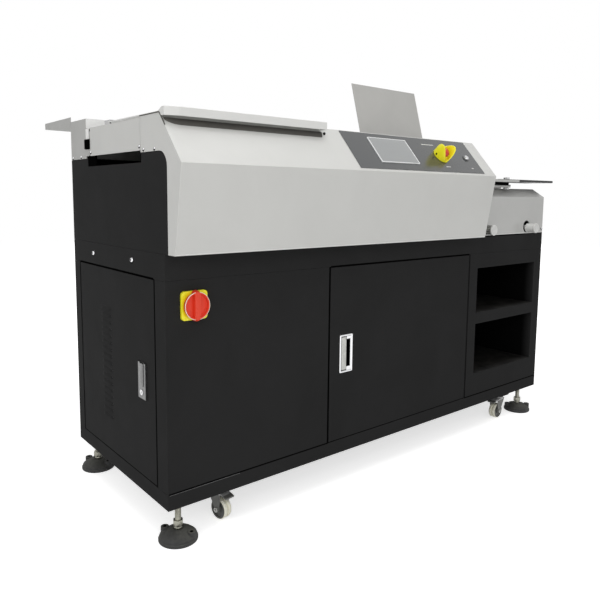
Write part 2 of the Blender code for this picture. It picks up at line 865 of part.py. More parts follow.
def make_mid_frame():
    x0 = station_length + weld
    x1 = x0 + frame_plate
    top = ridge_z - hood_wall - fit_gap
    rear_top = side_panel_top - fit_gap
    rear = cabinet_depth - sheet - fit_gap
    outline = [
        (mid_frame_front, on_deck), (rear, on_deck), (rear, rear_top),
        (housing_front_y - fit_gap, rear_top), (housing_front_y - fit_gap, top),
        (mid_frame_front, top),
    ]
    frame = prism("mid_frame", outline, "x", x0, x1, "steel")
    cut(frame, block("mid_frame_window", x0 - overrun, x1 + overrun,
                     mid_frame_front + window_margin, housing_front_y - window_margin,
                     deck_top + window_low, top - window_margin))
    for height, radius in ((rod_low_height, rod_radius), (rod_high_height, rod_radius),
                           (screw_height, screw_radius)):
        cut(frame, rod("mid_frame_hole", "x", (rod_y, deck_top + height), radius + running_gap,
                       x0 - overrun, x1 + overrun))
    settle(frame)


# Hood: bent sheet with both end caps, open at the rear and below

hatch_left = 0.050
hatch_right = 0.440
hatch_front = 0.060
hatch_rear_margin = 0.035
hatch_rear = hood_rear_y - hatch_rear_margin
hood_flange = 0.050
cap_rear_y = 0.115


def slope_point(along, out):
    # A place on the sloping face: up the slope from the crease, and out from the sheet.
    y = crease_y + along * math.cos(slope_angle) - out * math.sin(slope_angle)
    z = crease_z + along * math.sin(slope_angle) + out * math.cos(slope_angle)
    return y, z


def inner_corners():
    # The hood's outline moved in by its wall: foot, crease and ridge.
    lean = math.atan2(crease_y - hood_foot_y, crease_height)
    foot_y = hood_foot_y + hood_wall / math.cos(lean)
    foot = (foot_y, deck_top + hood_wall + fit_gap)
    turn = (math.pi / 2 - slope_angle - lean) / 2
    reach = hood_wall / math.cos(turn)
    aim = -lean - turn
    crease = (crease_y + reach * math.cos(aim), crease_z + reach * math.sin(aim))
    ridge_turn = slope_angle / 2
    reach = hood_wall / math.cos(ridge_turn)
    ridge = (ridge_y + reach * math.sin(ridge_turn), ridge_z - reach * math.cos(ridge_turn))
    return foot, crease, ridge


def make_hood():
    outline = [
        (hood_foot_y, on_deck), (crease_y, crease_z), (ridge_y, ridge_z),
        (hood_rear_y, ridge_z), (hood_rear_y, on_deck),
    ]
    hood = prism("hood", outline, "x", 0, hood_length, "grey")
    foot, crease, ridge = inner_corners()
    inside = [
        foot, crease, ridge, (hood_rear_y + overrun, ridge[1]),
        (hood_rear_y + overrun, deck_top - overrun), (hood_foot_y + hood_flange, deck_top - overrun),
        (hood_foot_y + hood_flange, foot[1]),
    ]
    cut(hood, prism("hood_inside", inside, "x", hood_wall, hood_length - hood_wall))
    clear = side_panel_front - seam / 2
    corner = side_corner + seam / 2
    top = side_panel_top + seam / 2
    cap = [(clear, deck_top - overrun)]
    cap += arc(clear + corner, top - corner, corner, 180, 90, corner_steps)
    cap += [
        (cap_rear_y, top), (cap_rear_y, ridge_z - hood_wall),
        (hood_rear_y + overrun, ridge_z - hood_wall), (hood_rear_y + overrun, deck_top - overrun),
    ]
    cut(hood, prism("hood_cap_cut", cap, "x", -overrun, hood_wall + weld))
    cut(hood, block("hood_hatch", hatch_left, hatch_right, hatch_front, hatch_rear,
                    ridge_z - overrun, ridge_z + overrun))
    for shape in control_cutters("hood"):
        cut(hood, shape)
    settle(hood)


# Left end flap beside the cover station

flap_front = 0.117
flap_rear_gap = 0.0025
flap_rear = hinge_block_front - flap_rear_gap
flap_low = 0.2395
flap_high = 0.319
flap_pivot_x = -0.0015


def make_left_flap():
    z0 = deck_top + flap_low
    z1 = min(deck_top + flap_high, ridge_z - hood_wall - fit_gap)
    flap = block("left_end_flap", 0, sheet, flap_front, flap_rear, z0, z1, "grey")
    pivot_at(flap, flap_pivot_x, hinge_block_front - fit_gap, z0)


# Rear housing, rear tray and rear upper panel

rear_cover_depth = 0.049
rear_cover_front = cabinet_depth - rear_cover_depth
tray_length = 0.470
tray_height = 0.358
tray_root_drop = 0.042
tray_tip_drop = 0.019
tray_plate_drop = 0.016
rear_wall = 0.002


def make_rear_housing():
    low = side_panel_top + fit_gap
    top = housing_top
    join_x = station_length + 2 * weld + frame_plate
    housing = block("rear_housing", 0, join_x, housing_front_y, cabinet_depth, low, top, "grey")
    cut(housing, block("housing_inside", rear_wall, join_x + overrun, housing_front_y + rear_wall,
                       cabinet_depth - rear_wall, low - overrun, top - rear_wall))
    cover = block("rear_cover", join_x - weld, cabinet_length, rear_cover_front, cabinet_depth,
                  low, top)
    join(housing, cover)
    cut(housing, block("cover_inside", join_x - overrun, cabinet_length - rear_wall,
                       rear_cover_front + rear_wall, cabinet_depth - rear_wall,
                       low - overrun, top - rear_wall))
    settle(housing)


def make_rear_upper_panel():
    front = housing_front_y
    outline = [
        (sheet + fit_gap, cabinet_depth), (sheet + fit_gap, cabinet_depth - sheet),
        (cabinet_length - sheet, cabinet_depth - sheet), (cabinet_length - sheet, front),
        (cabinet_length, front), (cabinet_length, cabinet_depth),
    ]
    prism("rear_upper_panel", outline, "z", on_deck, side_panel_top, "black")


def make_rear_tray():
    z = deck_top + tray_height
    plate_z = z - tray_plate_drop
    side = [
        (tray_root_y, z - tray_root_drop), (tray_rear_y, z - tray_tip_drop), (tray_rear_y, z),
        (tray_root_y, z),
    ]
    tray = prism("rear_tray", side, "x", 0, tray_length, "grey")
    cut(tray, block("tray_top_inside", sheet, tray_length - sheet, tray_root_y - overrun,
                    tray_rear_y + overrun, plate_z, z + overrun))
    cut(tray, block("tray_under_inside", sheet, tray_length - sheet, tray_root_y + sheet,
                    tray_rear_y - sheet, z - tray_root_drop - overrun, plate_z - sheet))
    settle(tray)


# Controls on the slope: panel, touch screen, emergency stop and push button

panel_inset = 0.059
panel_width = 0.566
panel_right = hood_length - panel_inset
panel_left = panel_right - panel_width
panel_low = 0.009
panel_high = 0.148
panel_thickness = 0.0015
screen_inset = 0.097
screen_width = 0.162
screen_left = panel_left + screen_inset
screen_right = screen_left + screen_width
screen_low = 0.033
screen_high = 0.130
screen_proud = 0.003
screen_rim = 0.009
screen_body_depth = 0.030
estop_inset = 0.1757
estop_x = panel_right - estop_inset
estop_along = 0.0746
guard_radius = 0.028
guard_wall = 0.0035
guard_low = 0.0045
guard_high = 0.0438
guard_curve = 1.4
guard_floor = 0.003
guard_turn = math.radians(-3)
guard_steps = 32
estop_stem_radius = 0.010
estop_depth = 0.030
mushroom_radius = 0.0165
mushroom_low = 0.014
mushroom_edge = 0.022
mushroom_top = 0.028
mushroom_crown_share = 0.7
push_inset = 0.050
push_x = panel_right - push_inset
push_along = 0.072
push_radius = 0.008
push_ring_radius = 0.0115
push_ring_height = 0.003
push_cap_height = 0.007
push_depth = 0.022


def on_slope(piece, x, along):
    y, z = slope_point(along, 0)
    piece.location = (x, y, z)
    piece.rotation_euler = (slope_angle, 0, 0)
    return piece


def control_cutters(owner):
    # Openings for the screen's body and the two switches, in the sheet or panel that owns them.
    reach = overrun
    middle = (screen_left + screen_right) / 2
    half_x = (screen_right - screen_left) / 2 - screen_rim + fit_gap
    half_y = (screen_high - screen_low) / 2 - screen_rim + fit_gap
    window = block(owner + "_window", -half_x, half_x, -half_y, half_y, -reach, reach)
    on_slope(window, middle, (screen_low + screen_high) / 2)
    stop = rod(owner + "_stop_hole", "z", (0, 0), estop_stem_radius + running_gap, -reach, reach)
    on_slope(stop, estop_x, estop_along)
    push = rod(owner + "_push_hole", "z", (0, 0), push_radius + running_gap, -reach, reach)
    on_slope(push, push_x, push_along)
    return window, stop, push


def make_control_panel():
    half_x = (panel_right - panel_left) / 2
    half_y = (panel_high - panel_low) / 2
    panel = block("control_panel", -half_x, half_x, -half_y, half_y, fit_gap,
                  fit_gap + panel_thickness, "dark_grey")
    on_slope(panel, (panel_left + panel_right) / 2, (panel_low + panel_high) / 2)
    bezel = rod("push_bezel", "z", (0, 0), push_ring_radius, fit_gap + panel_thickness / 2,
                fit_gap + panel_thickness + push_ring_height, round_steps)
    join(panel, on_slope(bezel, push_x, push_along))
    for shape in control_cutters("panel"):
        cut(panel, shape)


def make_touch_screen():
    half_x = (screen_right - screen_left) / 2
    half_y = (screen_high - screen_low) / 2
    base = panel_thickness + 2 * fit_gap
    screen = block("touch_screen", -half_x, half_x, -half_y, half_y, base, base + screen_proud,
                   "screen")
    inner_x, inner_y = half_x - screen_rim, half_y - screen_rim
    body = block("screen_body", -inner_x, inner_x, -inner_y, inner_y, -screen_body_depth,
                 base + weld)
    middle = (screen_left + screen_right) / 2
    along = (screen_low + screen_high) / 2
    on_slope(body, middle, along)
    on_slope(screen, middle, along)
    join(screen, body)


def make_estop():
    # The guard's rim rises and falls twice round: high at the left and right, low between.
    base = panel_thickness + 2 * fit_gap
    bm = bmesh.new()
    inner = guard_radius - guard_wall
    bore = estop_stem_radius + running_gap
    rings = []
    for radius, level in ((bore, "base"), (guard_radius, "base"), (guard_radius, "rim"),
                          (inner, "rim"), (inner, "floor"), (bore, "floor")):
        ring = []
        for k in range(guard_steps):
            turn = 2 * math.pi * k / guard_steps
            if level == "base":
                height = base
            elif level == "floor":
                height = base + guard_floor
            else:
                rise = abs(math.cos(turn)) ** guard_curve
                height = base + guard_low + (guard_high - guard_low) * rise
            ring.append(bm.verts.new((radius * math.cos(turn), radius * math.sin(turn), height)))
        rings.append(ring)
    for i, ring in enumerate(rings):
        following = rings[(i + 1) % len(rings)]
        for k in range(guard_steps):
            m = (k + 1) % guard_steps
            bm.faces.new((ring[k], ring[m], following[m], following[k]))
    guard = add_object("estop_guard", bm, "yellow")
    guard.data.transform(Matrix.Rotation(guard_turn, 4, "Z"))
    on_slope(guard, estop_x, estop_along)
    profile = [
        (0, -estop_depth), (estop_stem_radius, -estop_depth), (estop_stem_radius, base + mushroom_low),
        (mushroom_radius, base + mushroom_low), (mushroom_radius, base + mushroom_edge),
        (mushroom_radius * mushroom_crown_share, base + mushroom_top), (0, base + mushroom_top),
    ]
    button = turned("estop_button", profile, "z", (0, 0), round_steps, "red")
    on_slope(button, estop_x, estop_along)


def make_push_button():
    base = panel_thickness + 2 * fit_gap
    profile = [
        (0, -push_depth), (push_radius, -push_depth), (push_radius, base + push_cap_height),
        (0, base + push_cap_height),
    ]
    button = turned("push_button", profile, "z", (0, 0), small_steps, "zinc")
    on_slope(button, push_x, push_along)


# Top lid over the cover station, its hinge barrel and the bed behind it

lid_length = 0.472
lid_front = -0.020
lid_rise = 0.012
lid_lip = 0.020
lid_corner_x = 0.038
lid_corner_y = 0.012
lid_wall = 0.002
lid_corner_lean = math.radians(75)
barrel_set_back = 0.0235
barrel_y = hood_rear_y + barrel_set_back
barrel_radius = 0.0035
barrel_drop = 0.0045
barrel_left = 0.030
barrel_right = 0.445
bed_gap = 0.006
bed_front = barrel_y + bed_gap
bed_bar_depth = 0.033
bed_low = 0.296
bed_thickness = 0.011
bed_bar_top = 0.329
nip_low_gap = 0.0003
nip_top = 0.3345
nip_left = 0.060
nip_right = 0.440
nip_set_forward = 0.085
nip_front_y = book_line_y - nip_set_forward
nip_depth = 0.032
nip_rear_gap = 0.0015
nip_rear_face = book_line_y + nip_rear_gap
lid_top = ridge_z + lid_rise
barrel_z = lid_top - barrel_drop
lid_rear = barrel_y - barrel_radius - fit_gap


def lid_outline(inset):
    x0, x1 = inset, lid_length - inset
    y0 = lid_front + inset
    corner = inset / math.tan(lid_corner_lean)
    return [
        (x0, lid_rear), (x0, lid_front + lid_corner_y + corner), (lid_corner_x + corner / 2, y0),
        (x1, y0), (x1, lid_rear),
    ]


def make_lid():
    lid = prism("top_lid", lid_outline(0), "z", lid_top - lid_lip, lid_top, "grey")
    hollow = lid_outline(lid_wall)
    hollow[0] = (lid_wall, lid_rear + overrun)
    hollow[-1] = (lid_length - lid_wall, lid_rear + overrun)
    cut(lid, prism("lid_inside", hollow, "z", lid_top - lid_lip - overrun, lid_top - lid_wall))
    # The lips clear the hood's ridge and slope.
    low_y, low_z = slope_point(slope_length - 2 * lid_lip, lid_wall)
    top_y, top_z = slope_point(slope_length, lid_wall)
    under = ridge_z + fit_gap
    clear = [
        (low_y, low_z), (top_y - (top_z - under) / math.tan(slope_angle), under),
        (lid_rear + overrun, under), (lid_rear + overrun, low_z),
    ]
    cut(lid, prism("lid_clear", clear, "x", -overrun, lid_length + overrun))
    settle(lid)
    pivot_at(lid, 0, barrel_y, barrel_z)


def make_cover_bed():
    x0 = hood_wall + frame_plate + 2 * fit_gap
    x1 = station_length + weld - fit_gap
    rear = housing_front_y - fit_gap
    low = deck_top + bed_low
    bed = block("cover_bed", x0, x1, bed_front, rear, low, low + bed_thickness, "steel")
    join(bed, block("bed_bar", x0, x1, bed_front, bed_front + bed_bar_depth,
                    low + bed_thickness - weld, deck_top + bed_bar_top))
    join(bed, block("nip_fixed", nip_left, nip_right, nip_rear_face, rear,
                    low + bed_thickness - weld, deck_top + nip_top))
    join(bed, rod("barrel", "x", (barrel_y, barrel_z), barrel_radius, barrel_left, barrel_right))
    leaf_low = barrel_z - barrel_radius
    join(bed, block("barrel_leaf", barrel_left, barrel_right, barrel_y, bed_front + weld,
                    leaf_low, leaf_low + barrel_radius / 2))
    settle(bed)
    nip_bottom = low + bed_thickness + nip_low_gap
    block("nip_front", nip_left, nip_right, nip_front_y, nip_front_y + nip_depth, nip_bottom,
          deck_top + nip_top, "aluminium")


# Rods, drive screw and motor behind the book line

motor_radius = 0.034
motor_length = 0.130


def make_drive():
    x0 = station_length + weld
    x1 = pedestal_x + pedestal_thickness
    for name, height in (("guide_rod_lower", rod_low_height), ("guide_rod_upper", rod_high_height)):
        rod(name, "x", (rod_y, deck_top + height), rod_radius, x0, x1, small_steps, "steel")
    screw_z = deck_top + screw_height
    screw = rod("drive_screw", "x", (rod_y, screw_z), screw_radius, x0, x1, small_steps, "steel")
    pivot_at(screw, x0, rod_y, screw_z)
    motor_right = x0 - fit_gap
    motor = rod("drive_motor", "x", (rod_y, screw_z), motor_radius, motor_right - motor_length,
                motor_right, round_steps, "black")
    foot = motor_radius
    join(motor, block("motor_foot", motor_right - motor_length / 2, motor_right, rod_y - foot,
                      rod_y + foot, on_deck, screw_z))
    settle(motor)


# Clamp carriage, its moving jaw and the book rest

clamp_left_inset = 0.568
clamp_arm_inset = 0.188
clamp_arm_width = 0.120
clamp_left = cabinet_length - clamp_left_inset
clamp_arm_left = cabinet_length - clamp_arm_inset
clamp_arm_right = clamp_arm_left + clamp_arm_width
jaw_depth = 0.025
arm_set_back = 0.041
arm_front = book_line_y + arm_set_back
arm_depth = 0.025
carriage_rear_wall = 0.028
carriage_rear = rod_y + carriage_rear_wall
carriage_margin = 0.025
jaw_set_forward = 0.077
jaw_front_y = book_line_y - jaw_set_forward
jaw_overlap = 0.060
jaw_right = clamp_arm_left + jaw_overlap
first_pin_inset = 0.018
second_pin_inset = 0.046
jaw_pins = (clamp_arm_left + first_pin_inset, clamp_arm_left + second_pin_inset)
jaw_pin_radius = 0.004
jaw_pin_end_inset = 0.063
jaw_pin_reach = book_line_y + jaw_pin_end_inset
rest_width = 0.368
rest_thickness = 0.003
rest_foot = 0.016
rest_set_back = 0.008


def make_carriage():
    low = deck_top + rod_low_height - carriage_margin
    high = deck_top + rod_high_height + carriage_margin
    outline = [
        (book_line_y, clamp_bottom), (arm_front, clamp_bottom), (arm_front, low),
        (carriage_rear, low), (carriage_rear, high), (arm_front + arm_depth, high),
        (arm_front + arm_depth, clamp_top), (book_line_y, clamp_top),
    ]
    carriage = prism("clamp_carriage", outline, "x", clamp_arm_left, clamp_arm_right, "aluminium")
    join(carriage, block("rear_jaw", clamp_left, clamp_arm_left + weld, book_line_y,
                         book_line_y + jaw_depth, clamp_bottom, clamp_top))
    for height, radius in ((rod_low_height, rod_radius), (rod_high_height, rod_radius),
                           (screw_height, screw_radius)):
        cut(carriage, rod("carriage_bore", "x", (rod_y, deck_top + height), radius + running_gap,
                          clamp_arm_left - overrun, clamp_arm_right + overrun))
    pin_z = (clamp_bottom + clamp_top) / 2
    for x in jaw_pins:
        cut(carriage, rod("pin_bore", "y", (x, pin_z), jaw_pin_radius + running_gap,
                          book_line_y - overrun, arm_front + arm_depth + overrun))
    settle(carriage)
    jaw = block("clamp_jaw", clamp_left, jaw_right, jaw_front_y, jaw_front_y + jaw_depth - weld,
                clamp_bottom, clamp_top, "aluminium")
    for x in jaw_pins:
        join(jaw, rod("jaw_pin", "y", (x, pin_z), jaw_pin_radius, jaw_front_y + jaw_depth / 2,
                      jaw_pin_reach))
    settle(jaw)


def make_book_rest():
    z0 = clamp_top + fit_gap
    y0 = book_line_y + rest_set_back
    up = rest_height / math.cos(rest_lean)
    top = (y0 + up * math.sin(rest_lean), z0 + rest_height)
    back = rest_thickness / math.cos(rest_lean)
    outline = [
        (y0, z0), top, (top[0] + back, top[1]),
        (y0 + back + sheet * math.tan(rest_lean), z0 + sheet), (y0 + rest_foot, z0 + sheet),
        (y0 + rest_foot, z0),
    ]
    prism("book_rest", outline, "x", clamp_left, clamp_left + rest_width, "grey")


# Glue tank with its roller, and the milling cutter on its motor

work_length = hood_length - station_length
tank_place_share = 28 / 170
tank_length_share = 57.5 / 170
mill_place_share = 123 / 170
tank_front_inset = 0.073
tank_depth = 0.096
tank_left = station_length + work_length * tank_place_share
tank_right = tank_left + work_length * tank_length_share
tank_front = book_line_y - tank_front_inset
tank_rear = tank_front + tank_depth
tank_low = 0.253
tank_high = 0.328
tank_wall = 0.004
leg_width = 0.040
leg_inset = 0.020
roller_inset = 0.050
roller_x = tank_left + roller_inset
roller_height = 0.3075
roller_radius = 0.028
roller_gap = 0.0015
journal_radius = 0.006
mill_set_forward = 0.025
mill_x = station_length + work_length * mill_place_share
mill_y = book_line_y - mill_set_forward
mill_motor_radius = 0.044
mill_motor_low = 0.130
mill_motor_high = 0.308
mill_foot_half = 0.046
cutter_radius = 0.050
cutter_low = 0.318
cutter_high = 0.3345
cutter_hub_radius = 0.012
cutter_notches = 8
notch_width = 0.006
notch_depth = 0.012


def make_glue_tank():
    low, high = deck_top + tank_low, deck_top + tank_high
    tank = block("glue_tank", tank_left, tank_right, tank_front, tank_rear, low, high, "aluminium")
    middle = (tank_front + tank_rear) / 2
    for x in (tank_left + leg_inset, tank_right - leg_inset - leg_width):
        join(tank, block("tank_leg", x, x + leg_width, middle - leg_width / 2,
                         middle + leg_width / 2, on_deck, low + weld))
    cut(tank, block("tank_inside", tank_left + tank_wall, tank_right - tank_wall,
                    tank_front + tank_wall, tank_rear - tank_wall, low + tank_wall, high + overrun))
    roller_z = deck_top + roller_height
    cut(tank, rod("journal_hole", "y", (roller_x, roller_z), journal_radius + running_gap,
                  tank_front - overrun, tank_rear + overrun))
    settle(tank)
    y0, y1 = tank_front + tank_wall + roller_gap, tank_rear - tank_wall - roller_gap
    profile = [
        (0, tank_front), (journal_radius, tank_front), (journal_radius, y0), (roller_radius, y0),
        (roller_radius, y1), (journal_radius, y1), (journal_radius, tank_rear), (0, tank_rear),
    ]
    roller = turned("glue_roller", profile, "y", (roller_x, roller_z), round_steps, "steel")
    pivot_at(roller, roller_x, tank_front, roller_z)


def make_milling_unit():
    motor = rod("milling_motor", "z", (mill_x, mill_y), mill_motor_radius,
                deck_top + mill_motor_low, deck_top + mill_motor_high, round_steps, "black")
    half = mill_foot_half
    join(motor, block("motor_stand", mill_x - half, mill_x + half, mill_y - half, mill_y + half,
                      on_deck, deck_top + mill_motor_low + weld))
    settle(motor)
    z0, z1 = deck_top + cutter_low, deck_top + cutter_high
    hub_low = deck_top + mill_motor_high + fit_gap
    profile = [
        (0, hub_low), (cutter_hub_radius, hub_low), (cutter_hub_radius, z0), (cutter_radius, z0),
        (cutter_radius, z1), (0, z1),
    ]
    cutter = turned("milling_cutter", profile, "z", (0, 0), round_steps, "steel")
    for k in range(cutter_notches):
        notch = block("notch_%d" % k, cutter_radius - notch_depth, cutter_radius + overrun,
                      -notch_width / 2, notch_width / 2, (z0 + z1) / 2, z1 + overrun)
        notch.rotation_euler = (0, 0, 2 * math.pi * k / cutter_notches)
        cut(cutter, notch)
    settle(cutter)
    cutter.location = (mill_x, mill_y, 0)


# Right box, its two knobs and the table with its pull-out extension

box_wall = 0.002
box_rear_y = housing_front_y - sheet / 4
knob_hole_radius = 0.022
knob_hole_height = 0.0265
knob_radius = 0.0165
knob_flange_radius = 0.0185
knob_flange_length = 0.006
knob_front = -0.042
knob_back = -0.003
knob_waist_radius = 0.009
knob_waist_back = 0.012
knob_shaft_end = 0.050
rail_left_inset = 0.012
rail_length = 0.270
rail_left = hood_length + rail_left_inset
rail_right = rail_left + rail_length
rail_bar_depth = 0.0055
rail_bar_low = 0.1928
rail_bar_high = 0.200
rail_block_front = 0.0125
rail_block_rear = 0.100
rail_block_length = 0.232
rail_block_right = rail_left + rail_block_length
rail_block_height = 0.0105
rail_step_length = 0.198
rail_step_right = rail_left + rail_step_length
rail_step_height = 0.011
rail_foot_front = 0.0505
rail_foot_length = 0.228
rail_foot_right = rail_left + rail_foot_length
extension_overlap = 0.069
extension_rear = 0.135
extension_thickness = 0.0082
extension_travel = 0.150
extension_corner = 0.012
clamp_screw_inset = 0.013
clamp_screw_x = rail_block_right - clamp_screw_inset
extension_left = clamp_screw_x - extension_overlap
clamp_screw_y = 0.023
clamp_screw_radius = 0.004
clamp_head_radius = 0.0105
clamp_head_height = 0.008
clamp_nut_height = 0.007
slot_clearance = 0.0006
pan_wall = 0.0015


def make_right_box():
    x0, x1 = hood_length + fit_gap, cabinet_length
    front_z = deck_top + box_front_height
    top_z = deck_top + box_top_height
    outline = [
        (0, on_deck), (0, front_z), (box_slope_depth, top_z), (box_rear_y, top_z),
        (box_rear_y, on_deck),
    ]
    box = prism("right_box", outline, "x", x0, x1, "grey")
    inside = [
        (box_wall, deck_top - overrun), (box_wall, front_z - box_wall / 2),
        (box_slope_depth, top_z - box_wall), (box_rear_y + overrun, top_z - box_wall),
        (box_rear_y + overrun, deck_top - overrun),
    ]
    cut(box, prism("right_box_inside", inside, "x", x0 + box_wall, x1 - box_wall))
    for name, x in knob_places.items():
        cut(box, rod(name + "_opening", "y", (x, deck_top + knob_hole_height),
                     knob_hole_radius, -overrun, overrun, round_steps))
    settle(box)


def make_knobs():
    for name, x in knob_places.items():
        profile = [
            (0, knob_front), (knob_flange_radius, knob_front),
            (knob_flange_radius, knob_front + knob_flange_length),
            (knob_radius, knob_front + knob_flange_length), (knob_radius, knob_back),
            (knob_waist_radius, knob_back), (knob_waist_radius, knob_waist_back),
            (knob_shaft_radius, knob_waist_back), (knob_shaft_radius, knob_shaft_end),
            (0, knob_shaft_end),
        ]
        z = deck_top + knob_height
        knob = turned(name, profile, "y", (x, z), small_steps, "white")
        pivot_at(knob, x, knob_front, z)


def make_table():
    z0 = deck_top + table_height
    block_top = z0 + rail_block_height
    step_top = block_top + rail_step_height
    rail = block("table_rail", rail_left, rail_block_right, rail_block_front, rail_block_rear,
                 z0, block_top, "grey")
    join(rail, block("rail_step", rail_left, rail_step_right, 0, rail_block_rear,
                     block_top - weld, step_top))
    join(rail, block("rail_bar", rail_left, rail_right, 0, rail_bar_depth,
                     deck_top + rail_bar_low - weld, deck_top + rail_bar_high))
    join(rail, block("rail_foot", rail_left, rail_foot_right, rail_foot_front, rail_block_rear,
                     deck_top + box_top_height + fit_gap, z0 + weld))
    screw = (clamp_screw_x, clamp_screw_y)
    cut(rail, rod("rail_hole", "z", screw, clamp_screw_radius + running_gap, z0 - overrun,
                  block_top + overrun / 2))
    settle(rail)
    z1 = step_top + fit_gap
    z2 = z1 + extension_thickness
    front = rail_bar_depth + fit_gap
    outline = [
        (extension_left, front), (table_tip - extension_corner, front),
        (table_tip, front + extension_corner), (table_tip, extension_rear),
        (extension_left, extension_rear),
    ]
    leaf = prism("table_extension", outline, "z", z1, z2, "dark_grey")
    # Hollow underside behind the front rim, so that the leaf is a folded tray.
    deep = rail_block_rear + fit_gap
    cut(leaf, block("leaf_inside", extension_left + pan_wall, table_tip - pan_wall, deep,
                    extension_rear - pan_wall, z1 - overrun, z2 - pan_wall))
    half = clamp_screw_radius + slot_clearance
    cut(leaf, block("leaf_slot", clamp_screw_x - half, clamp_screw_x + extension_travel + half,
                    clamp_screw_y - half, clamp_screw_y + half, z1 - overrun, z2 + overrun))
    settle(leaf)
    head_low = z2 + fit_gap
    nut_high = z0 - fit_gap
    profile = [
        (0, nut_high - clamp_nut_height), (clamp_head_radius, nut_high - clamp_nut_height),
        (clamp_head_radius, nut_high), (clamp_screw_radius, nut_high),
        (clamp_screw_radius, head_low), (clamp_head_radius, head_low),
        (clamp_head_radius, head_low + clamp_head_height), (0, head_low + clamp_head_height),
    ]
    thumb = turned("thumb_screw", profile, "z", (0, 0), small_steps, "steel")
    thumb.location = (*screw, 0)


# Control box in the left compartment

control_left = 0.060
control_width = 0.300
control_rear_inset = 0.104
control_depth = 0.180
control_front = cabinet_depth - control_rear_inset - control_depth
control_height = 0.360
control_wall = 0.002


def make_control_box():
    z0 = base_top + fit_gap
    x0, x1 = control_left, control_left + control_width
    y0, y1 = control_front, control_front + control_depth
    box = block("control_box", x0, x1, y0, y1, z0, z0 + control_height, "aluminium")
    cut(box, block("control_inside", x0 + control_wall, x1 - control_wall, y0 + control_wall,
                   y1 + overrun, z0 + control_wall, z0 + control_height - control_wall))


make_base_frame()
make_feet()
make_casters()
make_front_left_panel()
make_middle_door()
make_door_pull()
make_left_door()
make_left_lock()
make_shelf_bay()
make_end_and_rear_panels()
make_deck()
make_switch()
make_side_panel()
make_end_frame_left()
make_mid_frame()
make_hood()
make_left_flap()
make_rear_housing()
make_rear_upper_panel()
make_rear_tray()
make_control_panel()
make_touch_screen()
make_estop()
make_push_button()
make_lid()
make_cover_bed()
make_drive()
make_carriage()
make_book_rest()
make_glue_tank()
make_milling_unit()
make_right_box()
make_knobs()
make_table()
make_control_box()
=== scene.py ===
# Looks of the floor-standing thermal binding machine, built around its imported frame.
# Metres. Places are measured from the cabinet's left end, its front face and the floor.
import json
import math

import bmesh
import bpy
import numpy as np
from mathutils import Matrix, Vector

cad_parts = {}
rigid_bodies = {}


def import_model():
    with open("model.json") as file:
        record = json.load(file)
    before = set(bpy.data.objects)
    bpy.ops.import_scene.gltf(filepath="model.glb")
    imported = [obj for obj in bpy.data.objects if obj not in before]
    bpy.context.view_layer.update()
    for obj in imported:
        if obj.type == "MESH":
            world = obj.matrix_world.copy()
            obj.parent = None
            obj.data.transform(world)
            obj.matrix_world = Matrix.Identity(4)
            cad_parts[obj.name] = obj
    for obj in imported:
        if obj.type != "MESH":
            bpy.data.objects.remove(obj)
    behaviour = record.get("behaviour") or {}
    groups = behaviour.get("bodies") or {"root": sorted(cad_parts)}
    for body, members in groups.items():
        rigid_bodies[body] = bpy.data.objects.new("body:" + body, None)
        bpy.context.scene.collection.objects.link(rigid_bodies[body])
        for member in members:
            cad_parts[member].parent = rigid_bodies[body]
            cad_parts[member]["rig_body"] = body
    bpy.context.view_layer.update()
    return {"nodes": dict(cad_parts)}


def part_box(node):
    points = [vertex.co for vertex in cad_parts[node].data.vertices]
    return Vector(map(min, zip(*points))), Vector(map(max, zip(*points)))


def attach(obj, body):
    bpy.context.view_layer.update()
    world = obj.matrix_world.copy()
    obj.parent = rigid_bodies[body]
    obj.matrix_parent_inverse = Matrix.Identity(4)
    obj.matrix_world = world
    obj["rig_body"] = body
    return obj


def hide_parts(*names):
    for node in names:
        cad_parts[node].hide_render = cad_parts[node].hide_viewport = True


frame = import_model()
nodes = frame["nodes"]
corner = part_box("base_frame")[0]
cabinetCorner = np.array([corner.x, corner.y, 0.0])
slopeTurn = math.radians(48.6)
creaseY, creaseZ = -0.085, 0.919
deckTop = 0.714
print("frame loaded with", len(nodes), "nodes")


# Shape helpers. A shape is an array of points and a list of blocks of faces that index them.

def axes(u, v, w):
    return np.array([u, v, w], float)


facing = {
    "front": axes((1, 0, 0), (0, 0, 1), (0, -1, 0)),
    "left": axes((0, -1, 0), (0, 0, 1), (-1, 0, 0)),
    "right": axes((0, 1, 0), (0, 0, 1), (1, 0, 0)),
    "rear": axes((-1, 0, 0), (0, 0, 1), (0, 1, 0)),
    "top": axes((1, 0, 0), (0, 1, 0), (0, 0, 1)),
    "under": axes((1, 0, 0), (0, -1, 0), (0, 0, -1)),
    "slope": axes((1, 0, 0), (0, math.cos(slopeTurn), math.sin(slopeTurn)),
                  (0, -math.sin(slopeTurn), math.cos(slopeTurn))),
}


def turnedAxes(turn):
    # A level axis at `turn` degrees from +X, with the other two square to it.
    c, s = math.cos(math.radians(turn)), math.sin(math.radians(turn))
    return axes((-s, c, 0), (0, 0, 1), (c, s, 0))


def spunAxes(turn):
    # An upright axis, with the level ones turned by `turn` degrees.
    c, s = math.cos(math.radians(turn)), math.sin(math.radians(turn))
    return axes((c, s, 0), (-s, c, 0), (0, 0, 1))


def slopePlace(x, along, out=0.0):
    # A place on the sloping face: up the slope from the crease and out from its sheet.
    c, s = math.cos(slopeTurn), math.sin(slopeTurn)
    return (x, creaseY + along * c - out * s, creaseZ + along * s + out * c)


